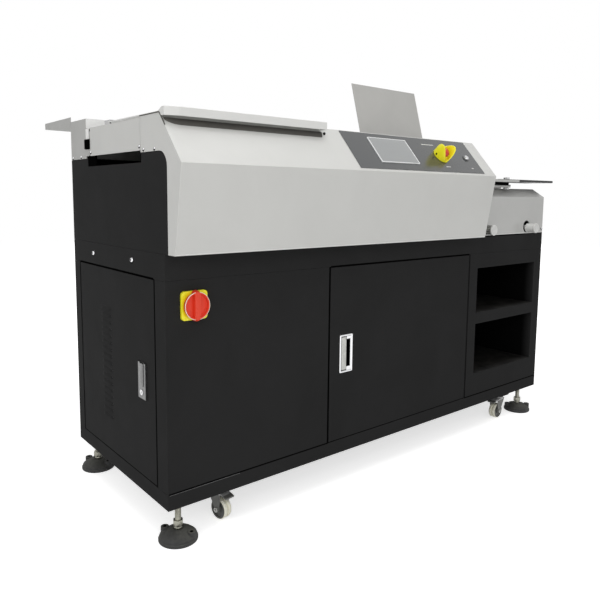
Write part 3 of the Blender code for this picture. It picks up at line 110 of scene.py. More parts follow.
def grid(points, aroundRows=False, aroundColumns=True, caps=True):
    # Joins neighbours (r, c), (r, c+1), (r+1, c+1), (r+1, c) into quads; caps close the end rows.
    rows, columns = points.shape[:2]
    r, c = np.meshgrid(np.arange(rows - (not aroundRows)), np.arange(columns - (not aroundColumns)),
                       indexing="ij")
    r2, c2 = (r + 1) % rows, (c + 1) % columns
    corners = [r * columns + c, r * columns + c2, r2 * columns + c2, r2 * columns + c]
    blocks = [np.stack(corners, -1).reshape(-1, 4)]
    if caps and not aroundRows:
        blocks.append(np.arange(columns)[None, ::-1])
        blocks.append((rows - 1) * columns + np.arange(columns)[None])
    return points.reshape(-1, 3), blocks


def lathe(profile, steps, wave=None, closed=False):
    # Ring point = (r cos a, r sin a, h) for every angle a; wave(a, r, h) scales r.
    profile = np.asarray(profile, float)
    a = np.linspace(0, 2 * math.pi, steps, endpoint=False)
    r = np.repeat(profile[:, :1], steps, 1)
    h = np.repeat(profile[:, 1:], steps, 1)
    if wave is not None:
        r = r * wave(a[None], r, h)
    return grid(np.stack([r * np.cos(a), r * np.sin(a), h], -1), aroundRows=closed)


def eased(outline, radius, steps=4, closed=False):
    # Corner C becomes (1-t)^2 A + 2t(1-t) C + t^2 B, with A and B `radius` away along its sides.
    outline = np.asarray(outline, float)
    radius = np.broadcast_to(np.asarray(radius, float), len(outline)).copy()
    before = np.roll(outline, 1, 0) - outline
    after = np.roll(outline, -1, 0) - outline
    if not closed:
        radius[[0, -1]] = 0
    reach = np.minimum(np.linalg.norm(before, axis=1), np.linalg.norm(after, axis=1))
    pull = np.minimum(radius, 0.48 * reach)
    a = outline + before * (pull / np.maximum(np.linalg.norm(before, axis=1), 1e-9))[:, None]
    b = outline + after * (pull / np.maximum(np.linalg.norm(after, axis=1), 1e-9))[:, None]
    t = np.linspace(0, 1, steps + 1)[None, :, None]
    curve = (1 - t) ** 2 * a[:, None] + 2 * t * (1 - t) * outline[:, None] + t ** 2 * b[:, None]
    return curve.reshape(-1, 2)


def roundedLoop(width, height, radius, steps=6):
    # Corner centres at +-(half size - radius), each with a quarter circle round it.
    quarter = np.linspace(0, math.pi / 2, steps + 1)
    a = (np.arange(4)[:, None] * math.pi / 2 + quarter).ravel()
    sideX = np.repeat([1, -1, -1, 1], steps + 1) * (width / 2 - radius)
    sideY = np.repeat([1, 1, -1, -1], steps + 1) * (height / 2 - radius)
    return np.stack([sideX + radius * np.cos(a), sideY + radius * np.sin(a)], -1)


def moulded(width, height, radius, profile, steps=6, crown=(0, 0), closed=False):
    # One rounded loop for each (inset, level) of the profile. The crown lifts a point by
    # crownX (1 - (2x/width)^2) + crownY (1 - (2y/height)^2), from none at the first loop's level.
    rows = []
    low, high = profile[0][1], max(level for inset, level in profile)
    for inset, level in profile:
        loop = roundedLoop(width - 2 * inset, height - 2 * inset, max(radius - inset, 0.0003), steps)
        lift = crown[0] * (1 - (2 * loop[:, 0] / width) ** 2)
        lift = lift + crown[1] * (1 - (2 * loop[:, 1] / height) ** 2)
        lift = lift * (level - low) / max(high - low, 1e-9)
        rows.append(np.column_stack([loop, level + lift]))
    return grid(np.array(rows), aroundRows=closed)


def slab(width, height, thickness, radius, edge, base=0.0, crown=(0, 0)):
    # A plate with rolled front and rear edges.
    k = edge * np.array([1.0, 0.55, 0.22, 0.05, 0.0])
    front = [(inset, base + thickness - drop) for inset, drop in zip(k[::-1], k)]
    rear = [(inset, base + drop) for inset, drop in zip(k, k[::-1])]
    inner = [(min(width, height) / 2 * s, base + thickness) for s in (0.35, 0.7)]
    return moulded(width, height, radius, rear + front + inner, crown=crown)


def placed(shape, origin, basis):
    # Point = origin + u U + v V + w W.
    basis = facing[basis] if isinstance(basis, str) else basis
    return np.asarray(origin, float) + shape[0] @ basis, shape[1]


def together(*shapes):
    points, blocks, start = [], [], 0
    for shapePoints, shapeBlocks in shapes:
        points.append(shapePoints)
        blocks += [np.asarray(block) + start for block in shapeBlocks]
        start += len(shapePoints)
    return np.concatenate(points), blocks


def repeated(shape, places):
    # The same shape at every place: its points are added to each row of `places`.
    places = np.asarray(places, float)
    count = len(shape[0])
    points = (places[:, None] + shape[0][None]).reshape(-1, 3)
    shift = (np.arange(len(places)) * count)[:, None, None]
    blocks = [(np.asarray(b)[None] + shift).reshape(-1, np.asarray(b).shape[1]) for b in shape[1]]
    return points, blocks


def showPiece(name, mesh, material, body, stands=()):
    mesh.materials.clear()
    mesh.materials.append(material)
    piece = bpy.data.objects.new(name, mesh)
    bpy.context.scene.collection.objects.link(piece)
    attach(piece, body)
    if stands:
        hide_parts(*stands)
    return piece


def makePiece(name, shape, material, body, slot=None, stands=(), sharp=35, merge=0.00001):
    points, blocks = shape
    mesh = bpy.data.meshes.new(name)
    faces = [face for block in blocks for face in np.asarray(block).tolist()]
    mesh.from_pydata((points + cabinetCorner).tolist(), [], faces)
    bm = bmesh.new()
    bm.from_mesh(mesh)
    bmesh.ops.remove_doubles(bm, verts=bm.verts, dist=merge)
    bmesh.ops.dissolve_degenerate(bm, edges=bm.edges, dist=merge)
    bmesh.ops.recalc_face_normals(bm, faces=bm.faces)
    bm.to_mesh(mesh)
    bm.free()
    mesh.shade_smooth()
    mesh.set_sharp_from_angle(angle=math.radians(sharp))
    return showPiece(name, mesh, material, body, stands)


def narrowest(edge, face):
    # Distance from the edge to the nearest parallel edge of the same face that runs beside it.
    start, end = (v.co for v in edge.verts)
    length = (end - start).length
    along = (end - start) / max(length, 1e-9)
    gaps = []
    for other in face.edges:
        a, b = (v.co for v in other.verts)
        if other is edge or abs((b - a).normalized().dot(along)) < 0.9:
            continue
        low, high = sorted(((a - start).dot(along), (b - start).dot(along)))
        gap = ((a + b) / 2 - start).cross(along).length
        if high > 0.0005 and low < length - 0.0005 and gap > 0.0001:
            gaps.append(gap)
    return min(gaps, default=max((v.co - start).cross(along).length for v in face.verts))


def pieceName(node):
    words = node.split("_")
    return words[0] + "".join(word.capitalize() for word in words[1:])


def softened(node, width, material, segments=2, cuts=(), shaped=None):
    # A merged copy of a sheet or box node, its sharp edges rolled as far as the sheet allows.
    # Cuts are (axis, place) planes that add edges, and shaped(points) moves all the points.
    source = nodes[node]
    mesh = source.data.copy()
    mesh.name = pieceName(node)
    bm = bmesh.new()
    bm.from_mesh(mesh)
    bmesh.ops.remove_doubles(bm, verts=bm.verts, dist=0.00001)
    bmesh.ops.join_triangles(bm, faces=bm.faces, angle_face_threshold=math.radians(1),
                             angle_shape_threshold=math.radians(180))
    for axis, level in cuts:
        whole = bm.verts[:] + bm.edges[:] + bm.faces[:]
        place = cabinetCorner[axis] + level
        bmesh.ops.bisect_plane(bm, geom=whole, plane_co=[place * (k == axis) for k in range(3)],
                               plane_no=[float(k == axis) for k in range(3)])
    weight = bm.edges.layers.float.new("bevel_weight_edge")
    for edge in bm.edges:
        edge.smooth = True
        if edge.calc_face_angle(0) > math.radians(28):
            reach = min(narrowest(edge, face) for face in edge.link_faces)
            edge[weight] = min(1.0, 0.4 * reach / width)
            edge.smooth = edge[weight] > 0.05
    for face in bm.faces:
        face.smooth = True
    bm.to_mesh(mesh)
    bm.free()
    if shaped:
        points = np.empty(3 * len(mesh.vertices))
        mesh.vertices.foreach_get("co", points)
        points = shaped(points.reshape(-1, 3) - cabinetCorner) + cabinetCorner
        mesh.vertices.foreach_set("co", points.ravel())
        mesh.update()
    piece = showPiece(pieceName(node), mesh, material, source["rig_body"], (node,))
    bevel = piece.modifiers.new("rolledEdges", "BEVEL")
    bevel.limit_method = "WEIGHT"
    bevel.width = width
    bevel.segments = segments
    bevel.use_clamp_overlap = False
    bevel.miter_outer = "MITER_ARC"
    level = piece.modifiers.new("flatFaces", "WEIGHTED_NORMAL")
    level.weight = 100
    level.keep_sharp = True
    return piece


# Shader helpers and the shared effects

def give(tree, socket, value):
    if isinstance(value, bpy.types.NodeSocket):
        tree.links.new(value, socket)
    else:
        socket.default_value = value


def addNode(tree, kind, inputs=None, **settings):
    node = tree.nodes.new(kind)
    for key, value in settings.items():
        setattr(node, key, value)
    for key, value in (inputs or {}).items():
        give(tree, node.inputs[key], value)
    return node


def compute(tree, operation, a, b=0.0, clamp=False):
    node = addNode(tree, "ShaderNodeMath", {0: a, 1: b}, operation=operation, use_clamp=clamp)
    return node.outputs[0]


def mapped(tree, value, low, high, toLow=0.0, toHigh=1.0):
    inputs = {"Value": value, "From Min": low, "From Max": high, "To Min": toLow, "To Max": toHigh}
    return addNode(tree, "ShaderNodeMapRange", inputs).outputs["Result"]


def mixColours(tree, factor, first, second):
    node = addNode(tree, "ShaderNodeMix", {0: factor, 6: first, 7: second}, data_type="RGBA")
    return node.outputs[2]


def newGroup(name, inputs, output):
    tree = bpy.data.node_groups.new(name, "ShaderNodeTree")
    for label, value in inputs.items():
        kind = "NodeSocketVector" if isinstance(value, tuple) else "NodeSocketFloat"
        tree.interface.new_socket(name=label, in_out="INPUT", socket_type=kind).default_value = value
    tree.interface.new_socket(name=output, in_out="OUTPUT", socket_type="NodeSocketFloat")
    given = tree.nodes.new("NodeGroupInput").outputs
    result = tree.nodes.new("NodeGroupOutput").inputs[output]
    place = addNode(tree, "ShaderNodeTexCoord").outputs
    return tree, given, result, place


def noise(tree, place, scale, detail=2.0, roughness=0.5, distortion=0.0):
    inputs = {"Vector": place, "Scale": scale, "Detail": detail, "Roughness": roughness,
              "Distortion": distortion}
    return addNode(tree, "ShaderNodeTexNoise", inputs).outputs[0]


def makeCoatGrain():
    # Height of the coat's fine ripple over a slower swell.
    tree, given, result, place = newGroup("coatGrain", {"Scale": 700.0}, "Height")
    ripple = noise(tree, place["Object"], given["Scale"], 2.0, 0.6)
    swell = noise(tree, place["Object"], compute(tree, "MULTIPLY", given["Scale"], 0.17), 1.0)
    total = compute(tree, "ADD", compute(tree, "MULTIPLY", ripple, 0.6),
                    compute(tree, "MULTIPLY", swell, 0.4))
    give(tree, result, total)


def makeEdgeWearAndShine():
    # Where a rounded normal leaves the face's own, broken up by patches: worn edges, which also stand
    # in for the light lines along edges as a painted highlight.
    tree, given, result, place = newGroup("edgeWearAndShine", {"Width": 0.0012, "Patches": 55.0}, "Mask")
    rounded = addNode(tree, "ShaderNodeBevel", {"Radius": given["Width"]}, samples=4)
    own = addNode(tree, "ShaderNodeNewGeometry").outputs["Normal"]
    agree = addNode(tree, "ShaderNodeVectorMath", {0: rounded.outputs["Normal"], 1: own},
                    operation="DOT_PRODUCT").outputs["Value"]
    edge = mapped(tree, agree, 0.99, 0.90)
    patch = mapped(tree, noise(tree, place["Object"], given["Patches"], 4.0, 0.6), 0.42, 0.62)
    give(tree, result, compute(tree, "MULTIPLY", edge, patch, clamp=True))


def makeSettledDust():
    # The upward part of the piece's own normal, with thin and thick places.
    tree, given, result, place = newGroup("settledDust", {"Amount": 0.3, "Scale": 18.0}, "Mask")
    up = addNode(tree, "ShaderNodeSeparateXYZ", {0: place["Normal"]}).outputs["Z"]
    lying = compute(tree, "POWER", compute(tree, "MAXIMUM", up, 0.0), 2.5)
    cloud = noise(tree, place["Object"], given["Scale"], 5.0, 0.65, 0.4)
    thick = compute(tree, "MULTIPLY", lying, mapped(tree, cloud, 0.30, 0.70))
    give(tree, result, compute(tree, "MULTIPLY", thick, given["Amount"], clamp=True))


def makeSmudges():
    # Slow wiped patches, 0 to 1.
    tree, given, result, place = newGroup("smudges", {"Scale": 7.0}, "Value")
    cloud = noise(tree, place["Object"], given["Scale"], 4.0, 0.6, 0.8)
    give(tree, result, mapped(tree, cloud, 0.32, 0.68))


def makeBrushedLines():
    # Noise stretched along one axis: the place is multiplied by Stretch first.
    tree, given, result, place = newGroup("brushedLines", {"Stretch": (8.0, 900.0, 900.0)}, "Value")
    stretched = addNode(tree, "ShaderNodeVectorMath", {0: place["Object"], 1: given["Stretch"]},
                        operation="MULTIPLY").outputs["Vector"]
    give(tree, result, noise(tree, stretched, 1.0, 3.0, 0.65))


for makeEffect in (makeCoatGrain, makeEdgeWearAndShine, makeSettledDust, makeSmudges, makeBrushedLines):
    makeEffect()


def effect(tree, name, **values):
    node = tree.nodes.new("ShaderNodeGroup")
    node.node_tree = bpy.data.node_groups[name]
    for key, value in values.items():
        give(tree, node.inputs[key], value)
    return node.outputs[0]


finishValues = {
    "colour": (0.5, 0.5, 0.5), "drift": 0.93, "driftScale": 5.0,
    "roughness": 0.4, "roughnessDrift": 0.08,
    "grainScale": 700.0, "grainDepth": 0.00006, "brushed": None, "brushedDepth": 0.00003,
    "wear": 0.0, "wearColour": (0.4, 0.4, 0.4), "wearAndShineWidth": 0.0012,
    "dust": 0.0, "dustColour": (0.36, 0.34, 0.31), "zone": None, "sockets": {},
}


def makeFinish(name, **changes):
    # Colour drifts between two tones, then edge wear (partly a painted edge highlight) and dust lie
    # over it; grain and lines bump it.
    look = {**finishValues, **changes}
    material = bpy.data.materials.new(name)
    material.use_nodes = True
    tree = material.node_tree
    shader = tree.nodes["Principled BSDF"]
    for socket, value in look["sockets"].items():
        shader.inputs[socket].default_value = value
    tone = (*look["colour"], 1.0)
    second = (*(look["drift"] * c for c in look["colour"]), 1.0)
    patches = effect(tree, "smudges", Scale=look["driftScale"])
    colour = mixColours(tree, patches, tone, second)
    if look["zone"]:
        # The zone's tone lies within `inner` of its middle along one axis and is gone at `outer`. The
        # shelf and rail finishes use it for painted shade.
        axis, middle, outer, inner, zoneTone = look["zone"]
        place = addNode(tree, "ShaderNodeTexCoord").outputs["Object"]
        along = addNode(tree, "ShaderNodeSeparateXYZ", {0: place}).outputs[axis]
        away = compute(tree, "ABSOLUTE", compute(tree, "SUBTRACT", along, middle))
        inside = mapped(tree, away, outer, inner)
        colour = mixColours(tree, inside, colour, (zoneTone, zoneTone, zoneTone, 1.0))
    # Lighter edges: worn paint, and also a painted highlight along the rounded edges.
    if look["wear"]:
        wornAndShiny = effect(tree, "edgeWearAndShine", Width=look["wearAndShineWidth"])
        wornAndShiny = compute(tree, "MULTIPLY", wornAndShiny, look["wear"])
        colour = mixColours(tree, wornAndShiny, colour, (*look["wearColour"], 1.0))
    wiped = effect(tree, "smudges", Scale=look["driftScale"] * 2.7)
    low, high = look["roughness"] - look["roughnessDrift"], look["roughness"] + look["roughnessDrift"]
    rough = mapped(tree, wiped, 0.0, 1.0, low, high)
    if look["dust"]:
        dusty = effect(tree, "settledDust", Amount=look["dust"])
        colour = mixColours(tree, dusty, colour, (*look["dustColour"], 1.0))
        rough = compute(tree, "ADD", rough, compute(tree, "MULTIPLY", dusty, 0.4), clamp=True)
    height = effect(tree, "coatGrain", Scale=look["grainScale"])
    bump = addNode(tree, "ShaderNodeBump", {"Height": height, "Distance": look["grainDepth"]})
    if look["brushed"]:
        lines = effect(tree, "brushedLines", Stretch=look["brushed"])
        fine = addNode(tree, "ShaderNodeBump", {"Height": lines, "Distance": look["brushedDepth"],
                                                "Normal": bump.outputs[0]})
        bump = fine
        rough = compute(tree, "ADD", rough, mapped(tree, lines, 0.0, 1.0, -0.06, 0.06), clamp=True)
    give(tree, shader.inputs["Base Color"], colour)
    give(tree, shader.inputs["Roughness"], rough)
    give(tree, shader.inputs["Normal"], bump.outputs[0])
    return material


metal = {"Metallic": 1.0}
blackPaint = {"colour": (0.0270, 0.0270, 0.0272), "roughness": 0.50, "drift": 0.9,
              "roughnessDrift": 0.03, "grainDepth": 0.00009, "wear": 0.35,
              "wearColour": (0.07, 0.07, 0.07), "dust": 0.06, "sockets": {"Specular IOR Level": 0.006}}
finishes = {
    "blackCoat": makeFinish("blackCoat", **blackPaint),
    # Behind its front edge the shelf goes from the black paint to near black: painted shade inside the
    # bays.
    "shelfCoat": makeFinish("shelfCoat", **blackPaint, zone=("Y", 0.2, 0.564, 0.530, 0.004)),
    "greyCoat": makeFinish("greyCoat", colour=(0.62, 0.62, 0.598), roughness=0.42, drift=0.965,
                           grainDepth=0.00006, wear=0.25, wearColour=(0.70, 0.70, 0.69), dust=0.05,
                           sockets={"Specular IOR Level": 0.4}),
    # The lid's lighter grey; on the hem strips the same finish is a painted highlight.
    "lidCoat": makeFinish("lidCoat", colour=(0.74, 0.74, 0.72), roughness=0.42, drift=0.97,
                          wear=0.15, wearColour=(0.80, 0.80, 0.79),
                          sockets={"Specular IOR Level": 0.4}),
    "rearCoat": makeFinish("rearCoat", colour=(0.44, 0.44, 0.425), roughness=0.44, drift=0.95,
                           wear=0.2, wearColour=(0.6, 0.6, 0.59), dust=0.06,
                           sockets={"Specular IOR Level": 0.35}),
    "boxCoat": makeFinish("boxCoat", colour=(0.51, 0.51, 0.495), roughness=0.20, drift=0.95,
                          roughnessDrift=0.03, grainDepth=0.00002,
                          wear=0.25, wearColour=(0.68, 0.68, 0.67), dust=0.05,
                          sockets={"Specular IOR Level": 0.45}),
    # The band of the step under the rail's bar is near black: painted shade beneath the bar.
    "railCoat": makeFinish("railCoat", colour=(0.50, 0.50, 0.485), roughness=0.40,
                           zone=("Z", 0.8981, 0.0056, 0.0054, 0.004), wear=0.2,
                           wearColour=(0.6, 0.6, 0.59)),
    "restCoat": makeFinish("restCoat", colour=(0.46, 0.455, 0.435), roughness=0.38, drift=0.93,
                           wear=0.2, wearColour=(0.6, 0.6, 0.59), dust=0.05),
    "darkCoat": makeFinish("darkCoat", colour=(0.060, 0.064, 0.064), roughness=0.36, drift=0.85,
                           wear=0.4, wearColour=(0.20, 0.20, 0.20), dust=0.08),
    "overlayFilm": makeFinish("overlayFilm", colour=(0.053, 0.056, 0.058), roughness=0.24,
                              drift=0.97, roughnessDrift=0.02, grainScale=1600.0, grainDepth=0.00001,
                              sockets={"Coat Weight": 0.25, "Coat Roughness": 0.12}),
    "screenGlass": makeFinish("screenGlass", colour=(0.270, 0.280, 0.280), roughness=0.16,
                              drift=0.97, roughnessDrift=0.04, grainDepth=0.00001,
                              sockets={"Coat Weight": 0.5, "Coat Roughness": 0.05}),
    "zincPlate": makeFinish("zincPlate", colour=(0.56, 0.56, 0.54), roughness=0.33, drift=0.84,
                            driftScale=60.0, wear=0.3, wearColour=(0.7, 0.7, 0.68), dust=0.12,
                            sockets=metal),
    "chromePlate": makeFinish("chromePlate", colour=(0.66, 0.66, 0.67), roughness=0.15, drift=0.93,
                              roughnessDrift=0.05, grainDepth=0.00001, sockets=metal),
    "turnedSteel": makeFinish("turnedSteel", colour=(0.46, 0.46, 0.46), roughness=0.27, drift=0.88,
                              driftScale=30.0, grainDepth=0.00002,
                              brushed=(1200.0, 12.0, 12.0), sockets=metal),
    "castAluminium": makeFinish("castAluminium", colour=(0.55, 0.55, 0.56), roughness=0.42,
                                drift=0.90, driftScale=25.0, grainScale=900.0, grainDepth=0.0001,
                                sockets=metal),
    "yellowPlastic": makeFinish("yellowPlastic", colour=(0.97, 0.90, 0.014), roughness=0.34,
                                drift=0.93, grainScale=1500.0, grainDepth=0.00003, dust=0.05),
    "switchRed": makeFinish("switchRed", colour=(0.80, 0.055, 0.022), roughness=0.34, drift=0.92,
                            grainScale=1500.0, grainDepth=0.00003, dust=0.03,
                            sockets={"Specular IOR Level": 0.3}),
    "redPlastic": makeFinish("redPlastic", colour=(0.58, 0.030, 0.014), roughness=0.30,
                             drift=0.90, grainScale=1500.0, grainDepth=0.00003, dust=0.05),
    "creamPlastic": makeFinish("creamPlastic", colour=(0.90, 0.88, 0.74), roughness=0.40,
                               drift=0.90, driftScale=45.0, dust=0.04),
    "whitePlastic": makeFinish("whitePlastic", colour=(0.66, 0.66, 0.64), roughness=0.38,
                               drift=0.95, driftScale=40.0, dust=0.08),
    # Heavy dust on the feet's upward faces, which also lightens their tops as painted top light.
    "dustAndTopLightRubber": makeFinish("dustAndTopLightRubber", colour=(0.030, 0.030, 0.030), roughness=0.72,
                              drift=0.7, driftScale=45.0, grainScale=500.0, grainDepth=0.0002,
                              dust=0.75, dustColour=(0.15, 0.15, 0.13)),
    "innerDark": makeFinish("innerDark", colour=(0.0025, 0.0025, 0.0025), roughness=0.7,
                            sockets={"Specular IOR Level": 0.0}),
    "legendInk": makeFinish("legendInk", colour=(0.60, 0.60, 0.58), roughness=0.45),
    # Brownish dark grey for the strip under the lid's lip and the line along the lid's left edge:
    # painted shade.
    "paintedShadeRubber": makeFinish("paintedShadeRubber", colour=(0.105, 0.101, 0.092), roughness=0.65,
                             drift=0.85, driftScale=14.0, grainDepth=0.0001,
                             sockets={"Specular IOR Level": 0.15}),
    "footZinc": makeFinish("footZinc", colour=(0.34, 0.335, 0.285), roughness=0.38, drift=0.70,
                           driftScale=60.0, dust=0.15, sockets=metal),
    "wornSteel": makeFinish("wornSteel", colour=(0.42, 0.42, 0.40), roughness=0.34, drift=0.75,
                            driftScale=60.0, dust=0.10, sockets=metal),
    "lockZinc": makeFinish("lockZinc", colour=(0.165, 0.165, 0.165), roughness=0.36, drift=0.80,
                           driftScale=60.0, wear=0.3, wearColour=(0.45, 0.45, 0.44),
                           sockets=metal),
    "bezelPlastic": makeFinish("bezelPlastic", colour=(0.84, 0.85, 0.85), roughness=0.30,
                               drift=0.95, grainDepth=0.00002),
    # Near white for the hinge plate and the housing's front plate: a painted highlight on those faces.
    "paintedHighlightPlate": makeFinish("paintedHighlightPlate", colour=(0.92, 0.92, 0.90), roughness=0.45, drift=0.97),
    "edgeShine": makeFinish("edgeShine", colour=(0.115, 0.115, 0.115), roughness=0.45),
    "hubPlastic": makeFinish("hubPlastic", colour=(0.085, 0.085, 0.076), roughness=0.50,
                             drift=0.6, driftScale=60.0),
    "forkZinc": makeFinish("forkZinc", colour=(0.15, 0.15, 0.14), roughness=0.42, drift=0.6,
                           driftScale=60.0, zone=("Z", 0.0857, 0.0098, 0.0092, 0.42), wear=0.5,
                           wearColour=(0.45, 0.45, 0.43)),
    "extensionCoat": makeFinish("extensionCoat", colour=(0.020, 0.021, 0.021), roughness=0.40,
                                drift=0.85, sockets={"Specular IOR Level": 0.25}),
}
print("finishes made:", len(finishes))


# Sheet metal and boxes: softened copies of the solids

sheetPieces = {
    "greyCoat": ("grey_paint", 0.0010, ("hood",)),
    "railCoat": ("grey_paint", 0.0008, ("table_rail",)),
    "rearCoat": ("grey_paint", 0.0010, ("rear_housing", "rear_tray")),
    "boxCoat": ("grey_paint", 0.0010, ("right_box",)),
    "restCoat": ("grey_paint", 0.0008, ("book_rest",)),
    "shelfCoat": ("black_paint", 0.0008, ("shelf_bay",)),
    "blackCoat": ("black_paint", 0.0008, ("front_left_panel", "middle_door", "left_door",
                                          "right_end_panel", "rear_panel",
                                          "cabinet_deck", "base_frame", "left_upper_panel",
                                          "rear_upper_panel")),
    # The end frame seen through the slot takes the near-black finish, darker than its paint: painted
    # shade inside the slot.
    "innerDark": ("black_paint", 0.0008, ("end_frame_left",)),
    "extensionCoat": ("dark_paint", 0.0008, ("table_extension",)),
    "castAluminium": ("aluminium", 0.0008, ("clamp_carriage", "clamp_jaw", "glue_tank",
                                            "nip_front")),
    "turnedSteel": ("steel", 0.0006, ("mid_frame", "cover_bed")),
    "forkZinc": ("zinc_plate", 0.0005, ("caster_fork_front_left", "caster_fork_front_right",
                                         "caster_fork_rear_left", "caster_fork_rear_right")),
    "lockZinc": ("zinc_plate", 0.0005, ("left_lock_body",)),
    "overlayFilm": ("overlay", 0.0004, ("control_panel",)),
}
for finish, (slotName, width, members) in sheetPieces.items():
    for member in members:
        softened(member, width, finishes[finish])

lid = {"top": 1.045, "ridge": 1.0333, "fall": 0.0083, "margin": (0.002, 0.030),
       "nose": (0.001, 0.024)}


def lidFall(points):
    # z falls by F (1 - smooth(x)) smooth(y) (z - ridge) / (top - ridge) along the left margin.
    def smooth(value, low, high):
        t = np.clip((value - low) / (high - low), 0, 1)
        return t * t * (3 - 2 * t)

    x, y, z = points.T
    share = np.clip((z - lid["ridge"]) / (lid["top"] - lid["ridge"]), 0, 1)
    acrossX = 1 - np.clip((x - lid["margin"][0]) / (lid["margin"][1] - lid["margin"][0]), 0, 1)
    fall = lid["fall"] * acrossX * smooth(y, *lid["nose"]) * share
    return np.stack([x, y, z - fall], -1)


lidCuts = [(0, 0.0025), (0, 0.016), (0, 0.030)]
lidCuts += [(1, y) for y in (0.001, 0.006, 0.0125, 0.019, 0.024)]
softened("top_lid", 0.0014, finishes["lidCoat"], 3, lidCuts, lidFall)
softened("left_end_flap", 0.0004, finishes["greyCoat"])
softened("control_box", 0.0008, finishes["castAluminium"])
print("sheet pieces softened")

# Turned, moulded and threaded pieces that stand for their solids

bodyOf = {name: node["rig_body"] for name, node in nodes.items()}


def extent(node):
    # The solid's lowest and highest corners, measured from the cabinet's corner.
    low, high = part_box(node)
    return np.array(low) - cabinetCorner, np.array(high) - cabinetCorner


def standFor(node, shape, finish, slotName, name=None, **options):
    return makePiece(name or pieceName(node), shape, finishes[finish], bodyOf[node], slotName,
                     (node,), **options)


def addOn(name, shape, finish, slotName, body="machine", **options):
    return makePiece(name, shape, finishes[finish], body, slotName, **options)


def disc(profile, steps=48, wave=None):
    # A lathe whose two ends run in to the axis.
    profile = np.asarray(profile, float)
    ends = profile[[0, -1]] * (0.0, 1.0)
    return lathe(np.concatenate([ends[:1], profile, ends[1:]]), steps, wave)


def hexNut(cornerRadius, low, high, steps=48):
    # Radius = the smaller of the hexagon, cos(30) / cos(angle to the flat), and the chamfer cone.
    cut = 0.12 * cornerRadius
    profile = [(0.86 * cornerRadius, low), (cornerRadius, low + cut),
               (cornerRadius, high - cut), (0.86 * cornerRadius, high)]

    def wave(a, r, h):
        flat = np.mod(a, math.pi / 3) - math.pi / 6
        return np.minimum(1.0, cornerRadius * math.cos(math.pi / 6) / np.cos(flat) / r)

    return disc(profile, steps, wave)


def threaded(radius, depth, lead, low, high, starts=1, perTurn=5, steps=24):
    # r = radius - depth * |2 * frac(starts * (h / lead - a / 2 pi)) - 1|, faded out at both ends.
    rows = int((high - low) / (lead / starts) * perTurn)
    h = np.linspace(low, high, rows)[:, None]
    a = np.linspace(0, 2 * math.pi, steps, endpoint=False)[None]
    ridge = np.abs(2 * np.mod(starts * (h / lead - a / (2 * math.pi)), 1.0) - 1)
    fade = np.clip(np.minimum(h - low, high - h) / (lead / starts), 0, 1)
    r = radius - depth * (ridge * fade + 1 - fade)
    return grid(np.stack([r * np.cos(a), r * np.sin(a), h + 0 * a], -1))


def panHead(radius, height, steps=20):
    # A domed screw head with a hexagon socket sunk in it.
    profile = [(radius, 0), (radius, 0.25 * height), (0.93 * radius, 0.6 * height),
               (0.72 * radius, 0.92 * height), (0.5 * radius, height), (0.46 * radius, 0.94 * height),
               (0.44 * radius, 0.35 * height)]
    return disc(profile, steps)


foot = {
    "places": {"front_left": (0.042, 0.032, -65), "front_right": (1.561, 0.032, -50),
               "rear_left": (0.042, 0.552, -70), "rear_right": (1.561, 0.552, 20)},
    "rubber": [(0.0450, 0.0), (0.0478, 0.0004), (0.0488, 0.0014), (0.0490, 0.0034), (0.0490, 0.0062),
               (0.0484, 0.0078), (0.0468, 0.0086), (0.0462, 0.0094), (0.0463, 0.0122),
               (0.0458, 0.0139), (0.0440, 0.0156), (0.0395, 0.0192), (0.0335, 0.0231),
               (0.0260, 0.0262), (0.0190, 0.0279), (0.0145, 0.0287), (0.0132, 0.0289),
               (0.0124, 0.0286), (0.0112, 0.0272)],
    "lug": [(0.0104, 0.0040), (0.0104, 0.0255), (0.0100, 0.0266), (0.0090, 0.0270),
            (0.0052, 0.0270), (0.0046, 0.0266), (0.0044, 0.0250)],
    "hole": [(0.0043, 0.0238), (0.0044, 0.0266)],
    "lugReach": 0.0375, "lugTurn": 7.5, "stem": 0.008, "stemFoot": 0.027, "stemTop": 0.0967,
    "nut": (0.0135, 0.036, 0.052), "collar": [(0.0098, 0.030), (0.0104, 0.0312), (0.0104, 0.034),
                                              (0.0086, 0.036)],
}


def footRibs(a, r, h):
    # Radius = r (1 - 0.022 (1 + cos 16a) / 2) on the cone between the rim and the collar.
    onCone = (h > 0.0145) & (h < 0.0275)
    return 1 - 0.022 * onCone * (1 + np.cos(16 * a)) / 2


for where, (footX, footY, footTurn) in foot["places"].items():
    node = "levelling_foot_" + where
    basis = spunAxes(footTurn + foot["lugTurn"])
    base = (footX, footY, 0.0)
    ends = [(side * foot["lugReach"], 0.0, 0.0) for side in (-1, 1)]
    rubber = together(disc(foot["rubber"], 96, footRibs), repeated(disc(foot["lug"], 32), ends))
    standFor(node, placed(rubber, base, basis), "dustAndTopLightRubber", "black_rubber")
    # Near-black plugs in the lug holes: painted shade standing in for the depth of the holes.
    footHoleShade = repeated(lathe(foot["hole"], 24), ends)
    addOn(pieceName(node) + "Holes", placed(footHoleShade, base, basis), "innerDark", "black_rubber")
    metalParts = together(threaded(foot["stem"], 0.0007, 0.002, foot["stemFoot"], foot["stemTop"],
                                   steps=20),
                          hexNut(*foot["nut"]), disc(foot["collar"], 32))
    standFor(node, placed(metalParts, base, basis), "footZinc", "zinc_plate",
             name=pieceName(node) + "Stem", sharp=50)
print("levelling feet made")

